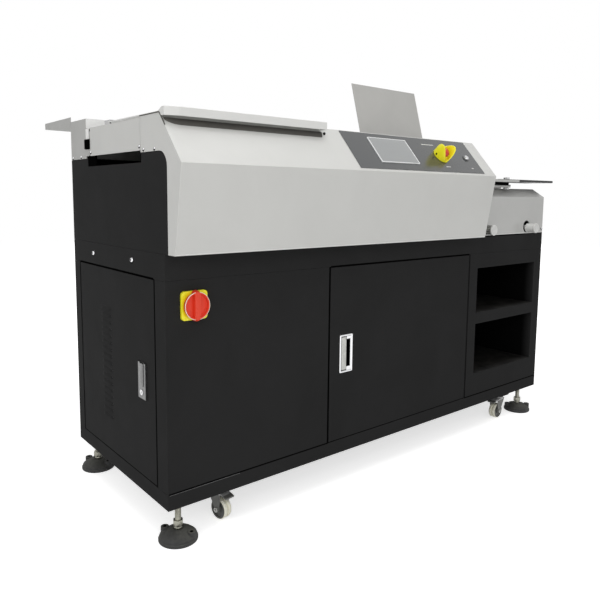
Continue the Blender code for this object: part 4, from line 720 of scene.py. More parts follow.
caster = {
    "places": {"front_left": (0.1715, 0.064, 10), "front_right": (1.423, 0.029, -87),
               "rear_left": (0.1715, 0.520, 158), "rear_right": (1.423, 0.520, 205)},
    "trail": 0.020, "height": 0.0335,
    "tread": [(0.0228, 0.0108), (0.0247, 0.0121), (0.0260, 0.0121), (0.0270, 0.0108),
              (0.0275, 0.0085), (0.0275, 0.0029), (0.0270, 0.0020), (0.0258, 0.0017),
              (0.0240, 0.0016)],
    "hub": [(0.0043, 0.0142), (0.0088, 0.0142), (0.0098, 0.0136), (0.0102, 0.0120),
            (0.0108, 0.0098), (0.0180, 0.0094), (0.0196, 0.0100), (0.0206, 0.0124),
            (0.0222, 0.0134), (0.0240, 0.0134), (0.0251, 0.0128), (0.0250, 0.0118),
            (0.0238, 0.0108)],
    "axleNut": (0.0068, 0.0172, 0.0212), "axleEnd": [(0.0038, 0.0210), (0.0038, 0.0216),
                                                     (0.0030, 0.0220)],
}


def mirrored(profile):
    profile = np.array(profile)
    return lathe(np.concatenate([profile, profile[::-1] * (1, -1)]), 64, closed=True)


for where, (forkX, forkY, turn) in caster["places"].items():
    level = turnedAxes(turn)
    sine, cosine = math.sin(math.radians(turn)), math.cos(math.radians(turn))
    hub = (forkX + caster["trail"] * sine, forkY - caster["trail"] * cosine, caster["height"])
    standFor("caster_wheel_" + where, placed(mirrored(caster["tread"]), hub, level),
             "creamPlastic", "cream_plastic")
    standFor("caster_wheel_" + where, placed(mirrored(caster["hub"]), hub, level), "hubPlastic",
             "black_rubber", name=pieceName("caster_wheel_" + where) + "Hub")
    fittings = together(hexNut(*caster["axleNut"]), disc(caster["axleEnd"], 24))
    flipped = (fittings[0] * (1, 1, -1), fittings[1])
    addOn(pieceName("caster_" + where) + "Nuts", placed(together(fittings, flipped), hub, level),
          "zincPlate", "zinc_plate", body="caster_fork_" + where)
print("casters made")

mainSwitch = {
    "x": 0.0725, "z": 0.591, "plate": 0.0695, "plateThickness": 0.008, "contacts": 0.048,
    "bore": 0.0063,
    "ring": [(0.0066, 0.0090), (0.0240, 0.0090), (0.0250, 0.0096), (0.0256, 0.0124),
             (0.0318, 0.0130), (0.0325, 0.0142), (0.0325, 0.0212), (0.0320, 0.0223),
             (0.0308, 0.0226), (0.0296, 0.0223), (0.0290, 0.0212), (0.0287, 0.0158),
             (0.0276, 0.0148), (0.0066, 0.0146)],
    "rim": [(0.0318, 0.0216), (0.0327, 0.0208), (0.0334, 0.0216), (0.0332, 0.0226), (0.0322, 0.0230)],
    "gripWidth": 0.020, "gripLength": 0.074,
}
switchPlace = (mainSwitch["x"], 0.0, mainSwitch["z"])
plate = slab(mainSwitch["plate"], mainSwitch["plate"], mainSwitch["plateThickness"], 0.009, 0.0016,
             base=0.0003)
collar = disc([(0.016, 0.0075), (0.016, 0.0084), (0.0155, 0.0086), (0.0060, 0.0086),
               (0.0058, 0.0161), (0.0050, 0.0163)], 40)
switchFront = together(plate, collar, disc([(0.011, -0.0030), (0.011, 0.0010)], 32))
standFor("switch_body", placed(switchFront, switchPlace, "front"), "yellowPlastic",
         "yellow_plastic")
contacts = together(slab(mainSwitch["contacts"], mainSwitch["contacts"], 0.030, 0.002, 0.001,
                         base=-0.0323),
                    slab(0.040, 0.044, 0.010, 0.002, 0.001, base=-0.0423))
standFor("switch_body", placed(contacts, switchPlace, "front"), "innerDark", "black_rubber",
         name="switchContacts")


def gripBar(width, length, low, high):
    # Width narrows towards the top and in the middle: w (1 - 0.22 t) (0.86 + 0.14 (2v)^2).
    t = np.array([0.0, 0.15, 0.5, 0.8, 0.93, 1.0])[:, None]
    s = np.array([1.0, 1.0, 0.93, 0.84, 0.76, 0.66])[:, None]
    loop = roundedLoop(width, length, 0.45 * width, 8)
    v = loop[None, :, 1] / length
    u = loop[None, :, 0] * s * (0.86 + 0.14 * (2 * v) ** 2)
    ends = 1 - 0.10 * (t ** 4)
    return grid(np.stack([u, loop[None, :, 1] * ends, low + (high - low) * (t + 0 * v)], -1))


handle = together(lathe(mainSwitch["ring"], 72, closed=True),
                  gripBar(mainSwitch["gripWidth"], mainSwitch["gripLength"], 0.0092, 0.0249))
standFor("switch_handle", placed(handle, switchPlace, "front"), "switchRed", "red_plastic")
# A pale ring on the front edge of the handle's rim: painted highlight.
rimHighlight = lathe(mainSwitch["rim"], 72, closed=True)
addOn("switchHandleRim", placed(rimHighlight, switchPlace, "front"), "creamPlastic", "white_plastic",
      body=bodyOf["switch_handle"])

pullLow, pullHigh = extent("door_pull")
pull = {"proud": 0.0022, "rim": 0.006, "wall": 0.0015, "floor": -0.0115, "corner": 0.004}
pullPlace = ((pullLow[0] + pullHigh[0]) / 2, pullLow[1] + pull["proud"],
             (pullLow[2] + pullHigh[2]) / 2)
pullRows = [(0.0045, -0.013), (0.0045, -0.0002), (0.0002, -0.0002), (0.0, 0.0004),
            (0.0004, 0.0013), (0.0014, 0.0020), (0.0024, 0.0022), (0.0044, 0.0020),
            (0.0056, 0.0010), (0.0060, -0.0006), (0.0060, -0.0100), (0.0068, -0.0112),
            (0.0085, -0.0115)]
pullShape = moulded(pullHigh[0] - pullLow[0], pullHigh[2] - pullLow[2], pull["corner"], pullRows)
standFor("door_pull", placed(pullShape, pullPlace, "front"), "chromePlate", "chrome", sharp=50)
latchLow, latchHigh = extent("door_latch")
latchSize = latchHigh - latchLow
latchShape = slab(latchSize[0], latchSize[2], latchSize[1] - 0.0004, 0.002, 0.0006,
                  crown=(0.0002, 0.0002))
standFor("door_latch", placed(latchShape, ((latchLow[0] + latchHigh[0]) / 2, latchHigh[1],
                                           (latchLow[2] + latchHigh[2]) / 2), "front"),
         "wornSteel", "chrome")
recess = {"x": (0.5760, 0.5903), "z": (0.355, 0.437), "lip": 0.0036, "level": 0.0008}
recessWidth, recessHeight = recess["x"][1] - recess["x"][0], recess["z"][1] - recess["z"][0]
recessPlace = (sum(recess["x"]) / 2, 0.0, sum(recess["z"]) / 2)
tray = moulded(recessWidth, recessHeight, 0.002, [(0.0, -0.0110), (0.0, 0.0006), (0.0004, 0.0006),
                                                  (0.0005, -0.0106)])
addOn("doorPullRecess", placed(tray, recessPlace, "front"), "innerDark", "black_rubber",
      body="middle_door")
lipRight = slab(recess["lip"], 0.1005, 0.0008, 0.0004, 0.0003, base=recess["level"])
lipTop = slab(recessWidth, 0.0080, 0.0008, 0.0004, 0.0003, base=recess["level"])
lipFoot = slab(recessWidth, 0.0110, 0.0008, 0.0004, 0.0003, base=recess["level"])
lips = together(placed(lipRight, (recess["x"][1] + recess["lip"] / 2, 0.0, 0.3945), "front"),
                placed(lipTop, (recessPlace[0], 0.0, recess["z"][1] + 0.0040), "front"),
                placed(lipFoot, (recessPlace[0], 0.0, recess["z"][0] - 0.0055), "front"))
addOn("doorPullLips", lips, "chromePlate", "chrome", body="middle_door")
print("main switch and door pull made")

lockLow, lockHigh = extent("left_lock_handle")
lockSize = lockHigh - lockLow
lockPlace = (lockHigh[0], (lockLow[1] + lockHigh[1]) / 2, (lockLow[2] + lockHigh[2]) / 2)
lockBar = slab(lockSize[1], lockSize[2], lockSize[0] - 0.0009, 0.004, 0.0012, crown=(0.0007, 0.0002))
standFor("left_lock_handle", placed(lockBar, lockPlace, "left"), "lockZinc", "zinc_plate")
keyPlace = (0.0, 0.124, 0.3605)
keyBarrel = disc([(0.0072, 0.0030), (0.0072, 0.0058), (0.0068, 0.0063), (0.0055, 0.0064),
                  (0.0052, 0.0060), (0.0048, 0.0060)], 40)
addOn("leftLockKey", placed(keyBarrel, keyPlace, "left"), "chromePlate", "zinc_plate",
      body="left_door")
addOn("leftLockKeyhole", placed(slab(0.0014, 0.0062, 0.0004, 0.0005, 0.0001, base=0.0059), keyPlace,
                                "left"), "innerDark", "black_rubber", body="left_door")

louvre = {"count": 17, "pitch": 0.019, "first": 0.235, "low": 0.318, "high": 0.383,
          "drop": 0.0105, "proud": 0.0036}


def louvreHood():
    # Proud = H (1 - u^6) sin(t pi/2), t from the top edge to the open lip; inside is 3/4 of it.
    u = np.linspace(-1, 1, 21)[None]
    t = np.linspace(0, 1, 7)[:, None]
    out = louvre["proud"] * (1 - u ** 6) * np.sin(t * math.pi / 2)
    width = (louvre["high"] - louvre["low"]) / 2 * u + 0 * t
    z = -louvre["drop"] * t + 0 * u
    outer = np.stack([width, z, out], -1)
    inner = np.stack([width * 0.985, z, out * 0.72], -1)[::-1]
    return grid(np.concatenate([outer, inner]), aroundRows=True, aroundColumns=False)


hood = placed(louvreHood(), (0.0001, (louvre["low"] + louvre["high"]) / 2, 0.0), "left")
levels = louvre["first"] + louvre["pitch"] * np.arange(louvre["count"]) + 0.007
hoodPlaces = np.stack([0 * levels, 0 * levels, levels], -1)
addOn("leftDoorLouvres", repeated(hood, hoodPlaces), "blackCoat", "black_paint", body="left_door")

screen = {"x": (0.640, 0.802), "along": (0.033, 0.130), "low": 0.0021, "high": 0.0051,
          "bezel": 0.0026, "bodyDepth": 0.030, "bodyInset": 0.009}
screenWidth = screen["x"][1] - screen["x"][0]
screenHeight = screen["along"][1] - screen["along"][0]
screenPlace = slopePlace(sum(screen["x"]) / 2, sum(screen["along"]) / 2, screen["low"])
bezelRows = [(0.0, 0.0), (0.0002, 0.0024), (0.0007, 0.0030), (0.0018, 0.0030), (0.0024, 0.0026),
             (0.0026, 0.0020), (0.0026, 0.0)]
bezel = moulded(screenWidth, screenHeight, 0.0022, bezelRows, closed=True)
standFor("touch_screen", placed(bezel, screenPlace, "slope"), "bezelPlastic", "aluminium",
         name="screenBezel")
glass = together(slab(screenWidth - 0.0050, screenHeight - 0.0050, 0.0021, 0.001, 0.0003),
                 slab(screenWidth - 2 * screen["bodyInset"], screenHeight - 2 * screen["bodyInset"],
                      screen["bodyDepth"], 0.002, 0.001, base=-screen["bodyDepth"]))
standFor("touch_screen", placed(glass, screenPlace, "slope"), "screenGlass", "screen")
print("lock, louvres and screen made")

stop = {"x": 0.9333, "along": 0.0746, "radius": 0.028, "wall": 0.0035, "low": 0.0045,
        "high": 0.0438, "curve": 1.4, "floor": 0.003, "bore": 0.0104, "turn": -3, "base": 0.0021,
        "screwTurn": 181.6, "screwHeight": 0.0078}


def guardShape(steps=120):
    # Rim height = low + (high - low) |cos a|^1.4; the wall is a cylinder with a rounded rim.
    a = np.linspace(0, 2 * math.pi, steps, endpoint=False)
    rim = stop["low"] + (stop["high"] - stop["low"]) * np.abs(np.cos(a)) ** stop["curve"]
    outer, inner = stop["radius"], stop["radius"] - stop["wall"]
    middle, edge = (outer + inner) / 2, stop["wall"] / 2
    rows = [(stop["bore"], 0 * rim), (outer - 0.001, 0 * rim), (outer, 0 * rim + 0.001),
            (outer, rim * 0.5)]
    for bend in np.linspace(0, math.pi, 7):
        rows.append((middle + edge * math.cos(bend), rim - edge + edge * math.sin(bend)))
    floor = 0 * rim + stop["floor"]
    rows += [(inner, floor + (rim - floor) * 0.45), (inner, floor + 0.0012), (inner - 0.001, floor),
             (stop["bore"] + 0.0004, floor), (stop["bore"], floor - 0.0004)]
    points = np.array([np.stack([r * np.cos(a), r * np.sin(a), h], -1) for r, h in rows])
    return grid(points, aroundRows=True)


def slopeSpun(turn):
    # The sloping face's axes, turned within the face.
    c, s = math.cos(math.radians(turn)), math.sin(math.radians(turn))
    u, v, w = facing["slope"]
    return np.array([c * u + s * v, c * v - s * u, w])


standFor("estop_guard", placed(guardShape(), slopePlace(stop["x"], stop["along"], stop["base"]),
                               slopeSpun(stop["turn"])), "yellowPlastic", "yellow_plastic")
screwTurn = math.radians(stop["screwTurn"])
guardU, guardV, guardW = slopeSpun(stop["turn"])
outward = math.cos(screwTurn) * guardU + math.sin(screwTurn) * guardV
sideways = math.cos(screwTurn) * guardV - math.sin(screwTurn) * guardU
guardScrewPlace = slopePlace(stop["x"], stop["along"], stop["base"]) + outward * stop["radius"]
guardScrew = disc([(0.0032, -0.0012), (0.0032, 0.0003), (0.0026, 0.0007)], 20)
addOn("estopGuardScrew", placed(guardScrew, guardScrewPlace + guardW * stop["screwHeight"],
                                np.array([guardW, sideways, outward])), "innerDark", "black_rubber")
mushroom = disc([(0.010, -0.030), (0.010, 0.0155), (0.0112, 0.0161), (0.0155, 0.0161),
                 (0.0163, 0.0168), (0.0165, 0.0185), (0.0163, 0.0222), (0.0157, 0.0240),
                 (0.0139, 0.0268), (0.0109, 0.0290), (0.0070, 0.0299), (0.0033, 0.0301)], 56)
standFor("estop_button", placed(mushroom, slopePlace(stop["x"], stop["along"]), "slope"),
         "redPlastic", "red_plastic")
pushPlace = slopePlace(1.059, 0.072)
pushShape = disc([(0.0070, -0.022), (0.0078, -0.021), (0.0078, 0.0078), (0.0074, 0.0088),
                  (0.0064, 0.0091), (0.0052, 0.0088), (0.0030, 0.0083)], 40)
standFor("push_button", placed(pushShape, pushPlace, "slope"), "chromePlate", "zinc_plate")
pushRing = lathe([(0.0084, 0.0021), (0.0084, 0.0046), (0.0088, 0.0050), (0.0106, 0.0050),
                  (0.0114, 0.0044), (0.0115, 0.0021)], 40, closed=True)
addOn("pushButtonRing", placed(pushRing, pushPlace, "slope"), "lockZinc", "zinc_plate")

knob = {"left": 1.238, "right": 1.512, "z": 0.7355, "radius": 0.0165, "flange": 0.0185,
        "front": 0.042, "neck": 0.036, "rear": 0.003, "waist": 0.009, "waistEnd": -0.012,
        "shaft": 0.005, "shaftEnd": -0.050, "ribs": 14, "ribDepth": 0.13}


def knobShape(ribs):
    # Seen from its end: radius = R (1 - depth * (1 + cos(ribs a)) / 2) along the body.
    body = [(knob["shaft"], knob["shaftEnd"]), (knob["shaft"], knob["waistEnd"]),
            (knob["waist"], knob["waistEnd"]), (knob["waist"], knob["rear"]),
            (knob["radius"] - 0.001, knob["rear"]), (knob["radius"], knob["rear"] + 0.001),
            (knob["radius"], knob["neck"] - 0.0005), (knob["radius"] - 0.0012, knob["neck"])]
    cap = [(knob["radius"] - 0.001, knob["neck"] - 0.001), (knob["flange"] - 0.0008, knob["neck"]),
           (knob["flange"], knob["neck"] + 0.0012), (knob["flange"], knob["front"] - 0.0014),
           (knob["flange"] - 0.0012, knob["front"]), (knob["flange"] - 0.0042, knob["front"]),
           (knob["flange"] - 0.0060, knob["front"] - 0.0012), (0.004, knob["front"] - 0.0014)]

    def wave(a, r, h):
        onBody = (h > knob["rear"]) & (h < knob["neck"]) & (r > knob["waist"] + 0.001)
        return 1 - knob["ribDepth"] * onBody * (1 + np.cos(ribs * a)) / 2

    return disc(body, 120 if ribs else 64, wave if ribs else None), disc(cap, 64)


for side, ribs, finish in (("left", knob["ribs"], "wornSteel"), ("right", 0, "whitePlastic")):
    node = "knob_" + side
    bodyShape, capShape = knobShape(ribs)
    knobPlace = (knob[side], 0.0, knob["z"])
    standFor(node, placed(bodyShape, knobPlace, "front"), finish, "white_plastic")
    addOn(pieceName(node) + "Cap", placed(capShape, knobPlace, "front"), "whitePlastic",
          "white_plastic", body=node)
holeShade = lathe([(0.0105, -0.0050), (0.0215, -0.0050), (0.0215, -0.0058), (0.0105, -0.0058)], 48,
                  closed=True)
holePlaces = [(knob[side], 0.0, knob["z"] + 0.0045) for side in ("left", "right")]
addOn("knobHoleShades", repeated(placed(holeShade, (0, 0, 0), "front"), holePlaces), "innerDark",
      "black_rubber")
print("guard, buttons and knobs made")

thumb = {"x": 1.399, "y": 0.023, "head": 0.0105, "ridges": 22}


def knurled(profile, ridges, depth=0.06, steps=88):
    # Radius shrinks by depth (1 + cos(ridges a)) / 2 where the profile is widest.
    widest = max(r for r, h in profile)

    def wave(a, r, h):
        return 1 - depth * (r > 0.93 * widest) * (1 + np.cos(ridges * a)) / 2

    return disc(profile, steps, wave)


thumbLow, thumbHigh = extent("thumb_screw")
thumbHead = knurled([(0.0060, 0.9158), (0.0098, 0.9160), (0.0105, 0.9168), (0.0105, 0.9214),
                     (0.0098, 0.9224), (0.0070, 0.9228), (0.0062, 0.9234), (0.0040, thumbHigh[2])],
                    thumb["ridges"])
thumbNut = knurled([(0.0060, thumbLow[2]), (0.0098, thumbLow[2] + 0.0004), (0.0105, 0.8794),
                    (0.0105, 0.8840), (0.0098, 0.8850), (0.0050, 0.8852)], thumb["ridges"])
thumbShank = threaded(0.004, 0.0004, 0.0014, 0.8845, 0.9162, steps=18)
standFor("thumb_screw", placed(together(thumbHead, thumbNut, thumbShank),
                               (thumb["x"], thumb["y"], 0.0), "top"), "turnedSteel", "steel")


def alongX(node, makeShape):
    # Builds a shape along the middle of the node's box, from its left end to its right end.
    low, high = extent(node)
    return placed(makeShape(low[0], high[0]), (0, (low[1] + high[1]) / 2, (low[2] + high[2]) / 2),
                  "right")


def rodShape(start, end):
    return disc([(0.0070, start), (0.0080, start + 0.001), (0.0080, start + 0.5),
                 (0.0080, end - 0.001), (0.0070, end)], 40)


for node in ("guide_rod_lower", "guide_rod_upper"):
    standFor(node, alongX(node, rodShape), "turnedSteel", "steel")
standFor("drive_screw", alongX("drive_screw", lambda start, end: threaded(
    0.007, 0.0013, 0.020, start, end, starts=4, perTurn=4, steps=24)), "turnedSteel", "steel",
    sharp=60)


def finned(radius, low, high, fins, depth, lip=0.004):
    # Rings of radius R and R - depth, fins of them between two plain end rings.
    edges = np.linspace(low + lip, high - lip, 2 * fins + 1)
    rows = [(0.82 * radius, low), (radius - 0.001, low), (radius, low + 0.001)]
    for start, end in zip(edges[:-1:2], edges[1::2]):
        rows += [(radius, start), (radius - depth, start + 0.0004), (radius - depth, end - 0.0004),
                 (radius, end)]
    return disc(rows + [(radius, high - 0.001), (radius - 0.001, high), (0.82 * radius, high)], 64)


driveLow, driveHigh = extent("drive_motor")
driveMotor = finned(0.034, driveLow[0], driveHigh[0], 12, 0.003)
driveFoot = slab(0.056, driveHigh[0] - driveLow[0] - 0.024, 0.847 - driveLow[2] - 0.016, 0.003,
                 0.0012, base=driveLow[2])
standFor("drive_motor", placed(driveMotor, (0, 0.500, 0.847), "right"), "castAluminium",
         "aluminium")
standFor("drive_motor", placed(driveFoot, ((driveLow[0] + driveHigh[0]) / 2, 0.500, 0.0),
                               axes((0, 1, 0), (-1, 0, 0), (0, 0, 1))), "darkCoat", "grey_paint",
         name="driveMotorFoot")
millLow, millHigh = extent("milling_motor")
millX, millY = (millLow[0] + millHigh[0]) / 2, (millLow[1] + millHigh[1]) / 2
standFor("milling_motor", placed(finned(0.044, 0.844, millHigh[2], 16, 0.004), (millX, millY, 0),
                                 "top"), "castAluminium", "aluminium")
millStand = slab(millHigh[0] - millLow[0], millHigh[1] - millLow[1], 0.846 - millLow[2], 0.004,
                 0.0015, base=millLow[2])
standFor("milling_motor", placed(millStand, (millX, millY, 0), "top"), "darkCoat", "grey_paint",
         name="millingMotorStand")


def cutterShape(radius, low, high, teeth=16, steps=128):
    # Toothed rim: the radius falls by 12 % along each tooth and comes back in a steep face.
    def wave(a, r, h):
        saw = np.mod(a * teeth / (2 * math.pi), 1.0)
        return 1 - 0.12 * (r > 0.9 * radius) * np.where(saw < 0.85, saw / 0.85, (1 - saw) / 0.15)

    rows = [(0.012, low), (radius * 0.82, low), (radius * 0.90, low + 0.001),
            (radius, low + 0.004), (radius, high - 0.002), (radius * 0.96, high),
            (0.030, high), (0.028, high - 0.0015), (0.014, high - 0.0015), (0.012, high)]
    return disc(rows, steps, wave)


cutterLow, cutterHigh = extent("milling_cutter")
cutter = together(cutterShape(0.050, 1.032, cutterHigh[2]),
                  disc([(0.012, cutterLow[2]), (0.012, 1.033)], 32))
standFor("milling_cutter", placed(cutter, (millX, millY, 0), "top"), "turnedSteel", "steel")
rollLow, rollHigh = extent("glue_roller")
rollMiddle = ((rollLow[0] + rollHigh[0]) / 2, 0.0, (rollLow[2] + rollHigh[2]) / 2)
roller = disc([(0.0055, rollLow[1]), (0.0060, rollLow[1] + 0.0005), (0.0060, 0.3695),
               (0.0265, 0.3695), (0.0280, 0.3710), (0.0280, 0.4530), (0.0265, 0.4545),
               (0.0060, 0.4545), (0.0060, rollHigh[1] - 0.0005), (0.0055, rollHigh[1])], 64)
standFor("glue_roller", placed(roller, rollMiddle, axes((1, 0, 0), (0, 0, -1), (0, 1, 0))),
         "turnedSteel", "steel")
print("rods, motors, cutter and roller made")

screws = {
    "flapScrews": ("left_end_flap", "left", 0.0029, 0.0024, [(0, 0.429, 0.964), (0, 0.119, 0.964)]),
    "leftPanelScrews": ("machine", "left", 0.0029, 0.0024,
                        [(0, 0.097, 0.956), (0, 0.040, 0.955), (0, 0.568, 0.953),
                         (0, 0.503, 0.954)]),
    "deckBolts": ("machine", "left", 0.0060, 0.0036, [(0, 0.430, 0.684), (0, 0.175, 0.687)]),
    "boxScrew": ("machine", "front", 0.0036, 0.0040, [(1.6215, 0, 0.7300)]),
}
for name, (body, side, radius, height, places) in screws.items():
    head = placed(panHead(radius, height), (0, 0, 0), side)
    socket = placed(disc([(0.45 * radius, 0.4 * height), (0.45 * radius, 0.72 * height)], 6),
                    (0, 0, 0), side)
    # A dark disc under each head, set off down and to one side: painted shadow of the screw.
    screwShadow = placed(disc([(radius + 0.0016, 0.0), (radius + 0.0016, 0.0005)], 20),
                    np.array((-0.0015, -0.0015, 0)) @ facing[side], side)
    addOn(name + "Washers", repeated(screwShadow, places), "innerDark", "black_rubber", body=body)
    addOn(name, repeated(head, places), "chromePlate", "steel", body=body)
    addOn(name + "Sockets", repeated(socket, places), "innerDark", "black_rubber", body=body)
print("screws made")

# Trim on the hood: the painted shadow strip under the lid's lip, the folded hem strips whose lighter
# grey is a painted highlight, the hinge plate and the lid's peg

lipShadow = {"start": 0.004, "end": 0.4705, "top": 0.1345, "width": 0.019, "thick": 0.0022,
        "taper": 0.045, "round": 0.009, "steps": 96}


def lipShadowShape():
    # Depth below the lip = width * sqrt(t (2 - t)) near both ends, t from 0 at the end's tip.
    x = np.linspace(0, 1, lipShadow["steps"]) ** 1.5
    x = lipShadow["start"] + (lipShadow["end"] - lipShadow["start"]) * np.sin(x * math.pi / 2)
    start = np.clip((x - lipShadow["start"]) / lipShadow["taper"], 0, 1)
    end = np.clip((lipShadow["end"] - x) / lipShadow["round"], 0, 1)
    deep = lipShadow["width"] * np.sqrt(start * (2 - start)) * np.sqrt(end * (2 - end)) + 0.0004
    edge = 0.25 * deep
    rows = [(x, lipShadow["top"] + 0 * x, 0 * x), (x, lipShadow["top"] + 0 * x, 0 * x + lipShadow["thick"]),
            (x, lipShadow["top"] - deep + edge, 0 * x + lipShadow["thick"]), (x, lipShadow["top"] - deep, 0 * x)]
    return grid(np.stack([np.stack(row, -1) for row in rows], 1))


# A dark strip on the slope under the lid's lip, pointed at its left end and widening: painted shadow
# of the lip.
addOn("lidSeal", placed(lipShadowShape(), slopePlace(0, 0), "slope"), "paintedShadeRubber", "black_rubber")
lidPeg = disc([(0.0036, 0.0002), (0.0036, 0.0042), (0.0028, 0.0050)], 24)
addOn("lidPeg", placed(lidPeg, slopePlace(0.4775, 0.1285), "slope"), "innerDark", "black_rubber")
# Thin lighter strips along the bottom front edges of the hood and the right box: painted highlight of
# the rolled edges.
hemHighlight = slab(1.166, 0.0022, 0.0008, 0.0004, 0.0003)
addOn("hoodHem", placed(hemHighlight, (0.584, -0.0519, 0.7165), "front"), "lidCoat", "grey_paint")
boxHem = slab(0.458, 0.0020, 0.0008, 0.0004, 0.0003)
addOn("boxHem", placed(boxHem, (1.398, 0.0, 0.7160), "front"), "lidCoat", "grey_paint")
# The hinge plate and the front plate of the rear housing are near white: painted highlight on their
# faces.
hingePlate = slab(0.0205, 0.044, 0.002, 0.001, 0.0004)
addOn("hingePlate", placed(hingePlate, (0.0016, 0.4545, 1.0075), "left"), "paintedHighlightPlate", "grey_paint")
housingPlate = slab(0.458, 0.0255, 0.0004, 0.001, 0.0002)
addOn("housingPlate", placed(housingPlate, (0.2305, 0.4655, 1.0443), "front"), "paintedHighlightPlate",
      "grey_paint")
housingLining = slab(0.476, 0.035, 0.0004, 0.001, 0.0001)
addOn("housingLining", placed(housingLining, (0.245, 0.5819, 0.9615), "front"), "innerDark",
      "black_rubber")
hingeFoot = slab(0.0215, 0.019, 0.002, 0.001, 0.0004)
addOn("hingeFoot", placed(hingeFoot, (0.0016, 0.4545, 0.9632), "left"), "rearCoat", "grey_paint")
hingeStrip = slab(0.0072, 0.066, 0.001, 0.0004, 0.0003)
addOn("hingeStrip", placed(hingeStrip, (0.0016, 0.4395, 0.988), "left"), "rearCoat", "grey_paint")
flapLip = slab(0.005, 0.0745, 0.0002, 0.0006, 0.0001)
addOn("flapLip", placed(flapLip, (-0.0001, 0.1170, 0.9917), "left"), "greyCoat", "grey_paint",
      body="left_end_flap")
hingeBlock = slab(0.030, 0.027, 0.006, 0.0015, 0.0006)
addOn("hingeBlock", placed(hingeBlock, (0.0025, 0.4540, 0.9865), "left"), "innerDark",
      "black_rubber")


def strip(path, width, low, high):
    # A flat bar along a path (v, w) of a face: each point stands half a width to either side.
    path = np.asarray(path, float)
    along = np.gradient(path, axis=0)
    along /= np.linalg.norm(along, axis=1)[:, None]
    across = np.stack([-along[:, 1], along[:, 0]], -1) * width / 2
    near, far = path - across, path + across
    level = np.ones((len(path), 1))
    rows = [np.column_stack([side, level * w]) for side, w in ((near, low), (far, low),
                                                               (far, high), (near, high))]
    return grid(np.stack(rows, 1))


# A dark line along the top of the left end under the lid's left edge: painted shade of the lid's edge.
capPath = [(-0.1165, 1.0337), (-0.080, 1.0338), (-0.040, 1.0339), (-0.0175, 1.0340),
           (-0.0145, 1.0331), (-0.006, 1.0240), (0.004, 1.0128), (0.012, 1.0038)]
addOn("hoodCapShadeLine", placed(strip(capPath, 0.0026, -0.0010, 0.0007), (0, 0, 0), "left"),
      "paintedShadeRubber", "black_rubber")
railShade = slab(0.198, 0.0118, 0.0003, 0.0004, 0.0001)
addOn("railShade", placed(railShade, (1.2795, 0.0, 0.8990), "front"), "innerDark", "black_rubber")
legendBars = together(*(placed(slab(w, h, 0.00012, 0.0002, 0.00004, base=0.00176),
                               slopePlace(x, along), "slope")
                        for x, along, w, h in ((0.903, 0.1215, 0.058, 0.0032),
                                               (0.937, 0.030, 0.022, 0.0036),
                                               (1.0605, 0.0285, 0.010, 0.0036))))
addOn("legendBars", legendBars, "legendInk", "white_plastic")

gap = {"width": 0.0030, "back": -0.0011, "thick": 0.0006, "line": 0.0036}
bars = []
for across, up, width, height in ((0.5100, 0.3945, 0.0028, 0.5140),
                                  (0.8340, 0.13865, 0.6450, 0.0026),
                                  (0.8340, 0.65035, 0.6450, 0.0026)):
    bar = slab(width, height, gap["thick"], 0.0004, 0.0001, base=gap["back"])
    bars.append(placed(bar, (across, 0.0, up), "front"))
for across, up, width, height in ((0.0570, 0.3945, 0.0028, 0.5140),
                                  (0.2970, 0.13865, 0.4770, 0.0026),
                                  (0.2970, 0.65035, 0.4770, 0.0026)):
    bar = slab(width, height, gap["thick"], 0.0004, 0.0001, base=gap["back"])
    bars.append(placed(bar, (0.0, across, up), "left"))
addOn("seamBackings", together(*bars), "innerDark", "black_rubber")
lines = []
for across, up, width, height, side in (
        (0.2555, 0.1382, 0.5060, gap["line"], "front"), (1.3940, 0.1382, 0.4660, gap["line"], "front"),
        (1.3300, 0.7124, 0.3200, gap["line"], "front"), (0.5066, 0.3945, gap["line"], 0.5140, "front"),
        (1.1613, 0.3945, 0.0026, 0.5140, "front"), (0.8340, 0.6532, 0.6450, 0.0024, "front"),
        (0.0538, 0.3945, 0.0030, 0.5140, "left"), (0.5402, 0.3945, 0.0030, 0.5140, "left"),
        (0.2970, 0.6532, 0.4770, 0.0024, "left")):
    place = (across, 0.0, up) if side == "front" else (0.0, across, up)
    lines.append(placed(slab(width, height, 0.0003, 0.0004, 0.0001), place, side))
addOn("seamLines", together(*lines), "innerDark", "black_rubber")
addOn("seamShine", placed(slab(0.200, 0.0012, 0.0003, 0.0004, 0.0001), (0.104, 0.0, 0.1354), "front"),
      "edgeShine", "black_paint")
print("hood trim made")

# Camera, lights and floor

camera = bpy.data.objects.new("camera", bpy.data.cameras.new("camera"))
bpy.context.scene.collection.objects.link(camera)
bpy.context.scene.camera = camera
camera.location = (-1.4944, -1.6406, 0.8529)
camera.rotation_euler = [math.radians(turn) for turn in (83.4711, -0.5311, -39.2284)]
camera.data.sensor_width = 36.0
camera.data.lens = 36.944
camera.data.shift_y = -0.058333

light = {
    "worldStrength": 0.38,
    "lamps": {
        "topLamp": ((-0.3, -0.5, 3.4), (3.0, 2.2), 46.0),
        "frontLamp": ((-1.8, -2.7, 2.1), (2.0, 1.4), 19.0),
        "leftLamp": ((-3.3, -1.0, 1.9), (2.0, 1.6), 13.0),
        "lowLamp": ((-0.9, -3.2, 0.5), (3.0, 0.8), 9.0),
    },
    "aim": (0.0, 0.0, 0.6),
}


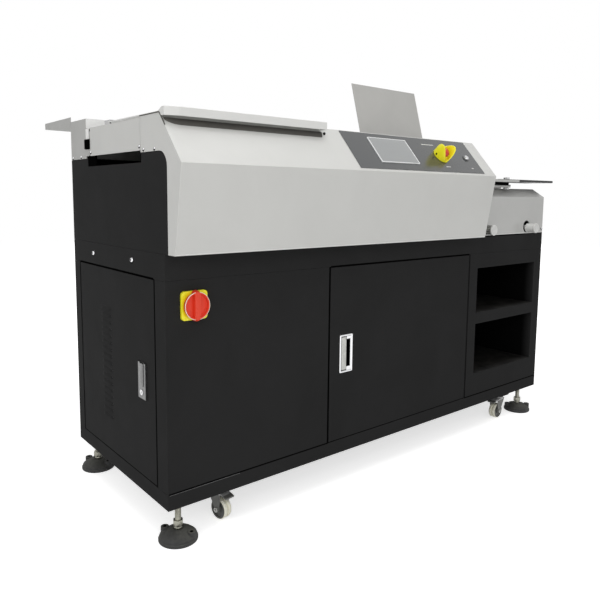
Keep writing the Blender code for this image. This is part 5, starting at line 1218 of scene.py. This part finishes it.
def addLamp(name, place, size, power):
    lamp = bpy.data.lights.new(name, "AREA")
    lamp.shape = "RECTANGLE"
    lamp.size, lamp.size_y = size
    lamp.energy = power
    holder = bpy.data.objects.new(name, lamp)
    bpy.context.scene.collection.objects.link(holder)
    holder.location = place
    direction = Vector(light["aim"]) - Vector(place)
    holder.rotation_euler = direction.to_track_quat("-Z", "Y").to_euler()


for name, settings in light["lamps"].items():
    addLamp(name, *settings)


def seenWhite(tree):
    # 1 for rays that look straight, by reflection or through glass; 0 for the light itself.
    path = addNode(tree, "ShaderNodeLightPath").outputs
    seen = compute(tree, "MAXIMUM", path["Is Camera Ray"], path["Is Glossy Ray"])
    return compute(tree, "MAXIMUM", seen, path["Is Transmission Ray"])


world = bpy.data.worlds.new("studio")
bpy.context.scene.world = world
world.use_nodes = True
background = world.node_tree.nodes["Background"]
background.inputs["Color"].default_value = (1.0, 1.0, 1.0, 1.0)
give(world.node_tree, background.inputs["Strength"],
     mapped(world.node_tree, seenWhite(world.node_tree), 0.0, 1.0, light["worldStrength"], 1.0))

floorMesh = bpy.data.meshes.new("floor")
floorMesh.from_pydata([(-9, -9, 0), (9, -9, 0), (9, 9, 0), (-9, 9, 0)], [], [(0, 1, 2, 3)])
floor = bpy.data.objects.new("floor", floorMesh)
bpy.context.scene.collection.objects.link(floor)
floorPaper = bpy.data.materials.new("floorPaper")
floorPaper.use_nodes = True
floorShader = floorPaper.node_tree.nodes["Principled BSDF"]
floorShader.inputs["Base Color"].default_value = (0.9, 0.9, 0.9, 1.0)
floorShader.inputs["Roughness"].default_value = 0.9
floorShader.inputs["Specular IOR Level"].default_value = 0.0
floorShader.inputs["Emission Color"].default_value = (1.0, 1.0, 1.0, 1.0)
floorTree = floorPaper.node_tree
fromMiddle = addNode(floorTree, "ShaderNodeVectorMath",
                     {0: addNode(floorTree, "ShaderNodeTexCoord").outputs["Object"]},
                     operation="LENGTH").outputs["Value"]
glow = mapped(floorTree, fromMiddle, 0.9, 2.2, 0.66, 1.0)
give(floorTree, floorShader.inputs["Emission Strength"],
     compute(floorTree, "MULTIPLY", seenWhite(floorTree), glow))
floorMesh.materials.append(floorPaper)
bpy.context.scene.view_settings.view_transform = "Standard"
print("camera, lights and floor set")
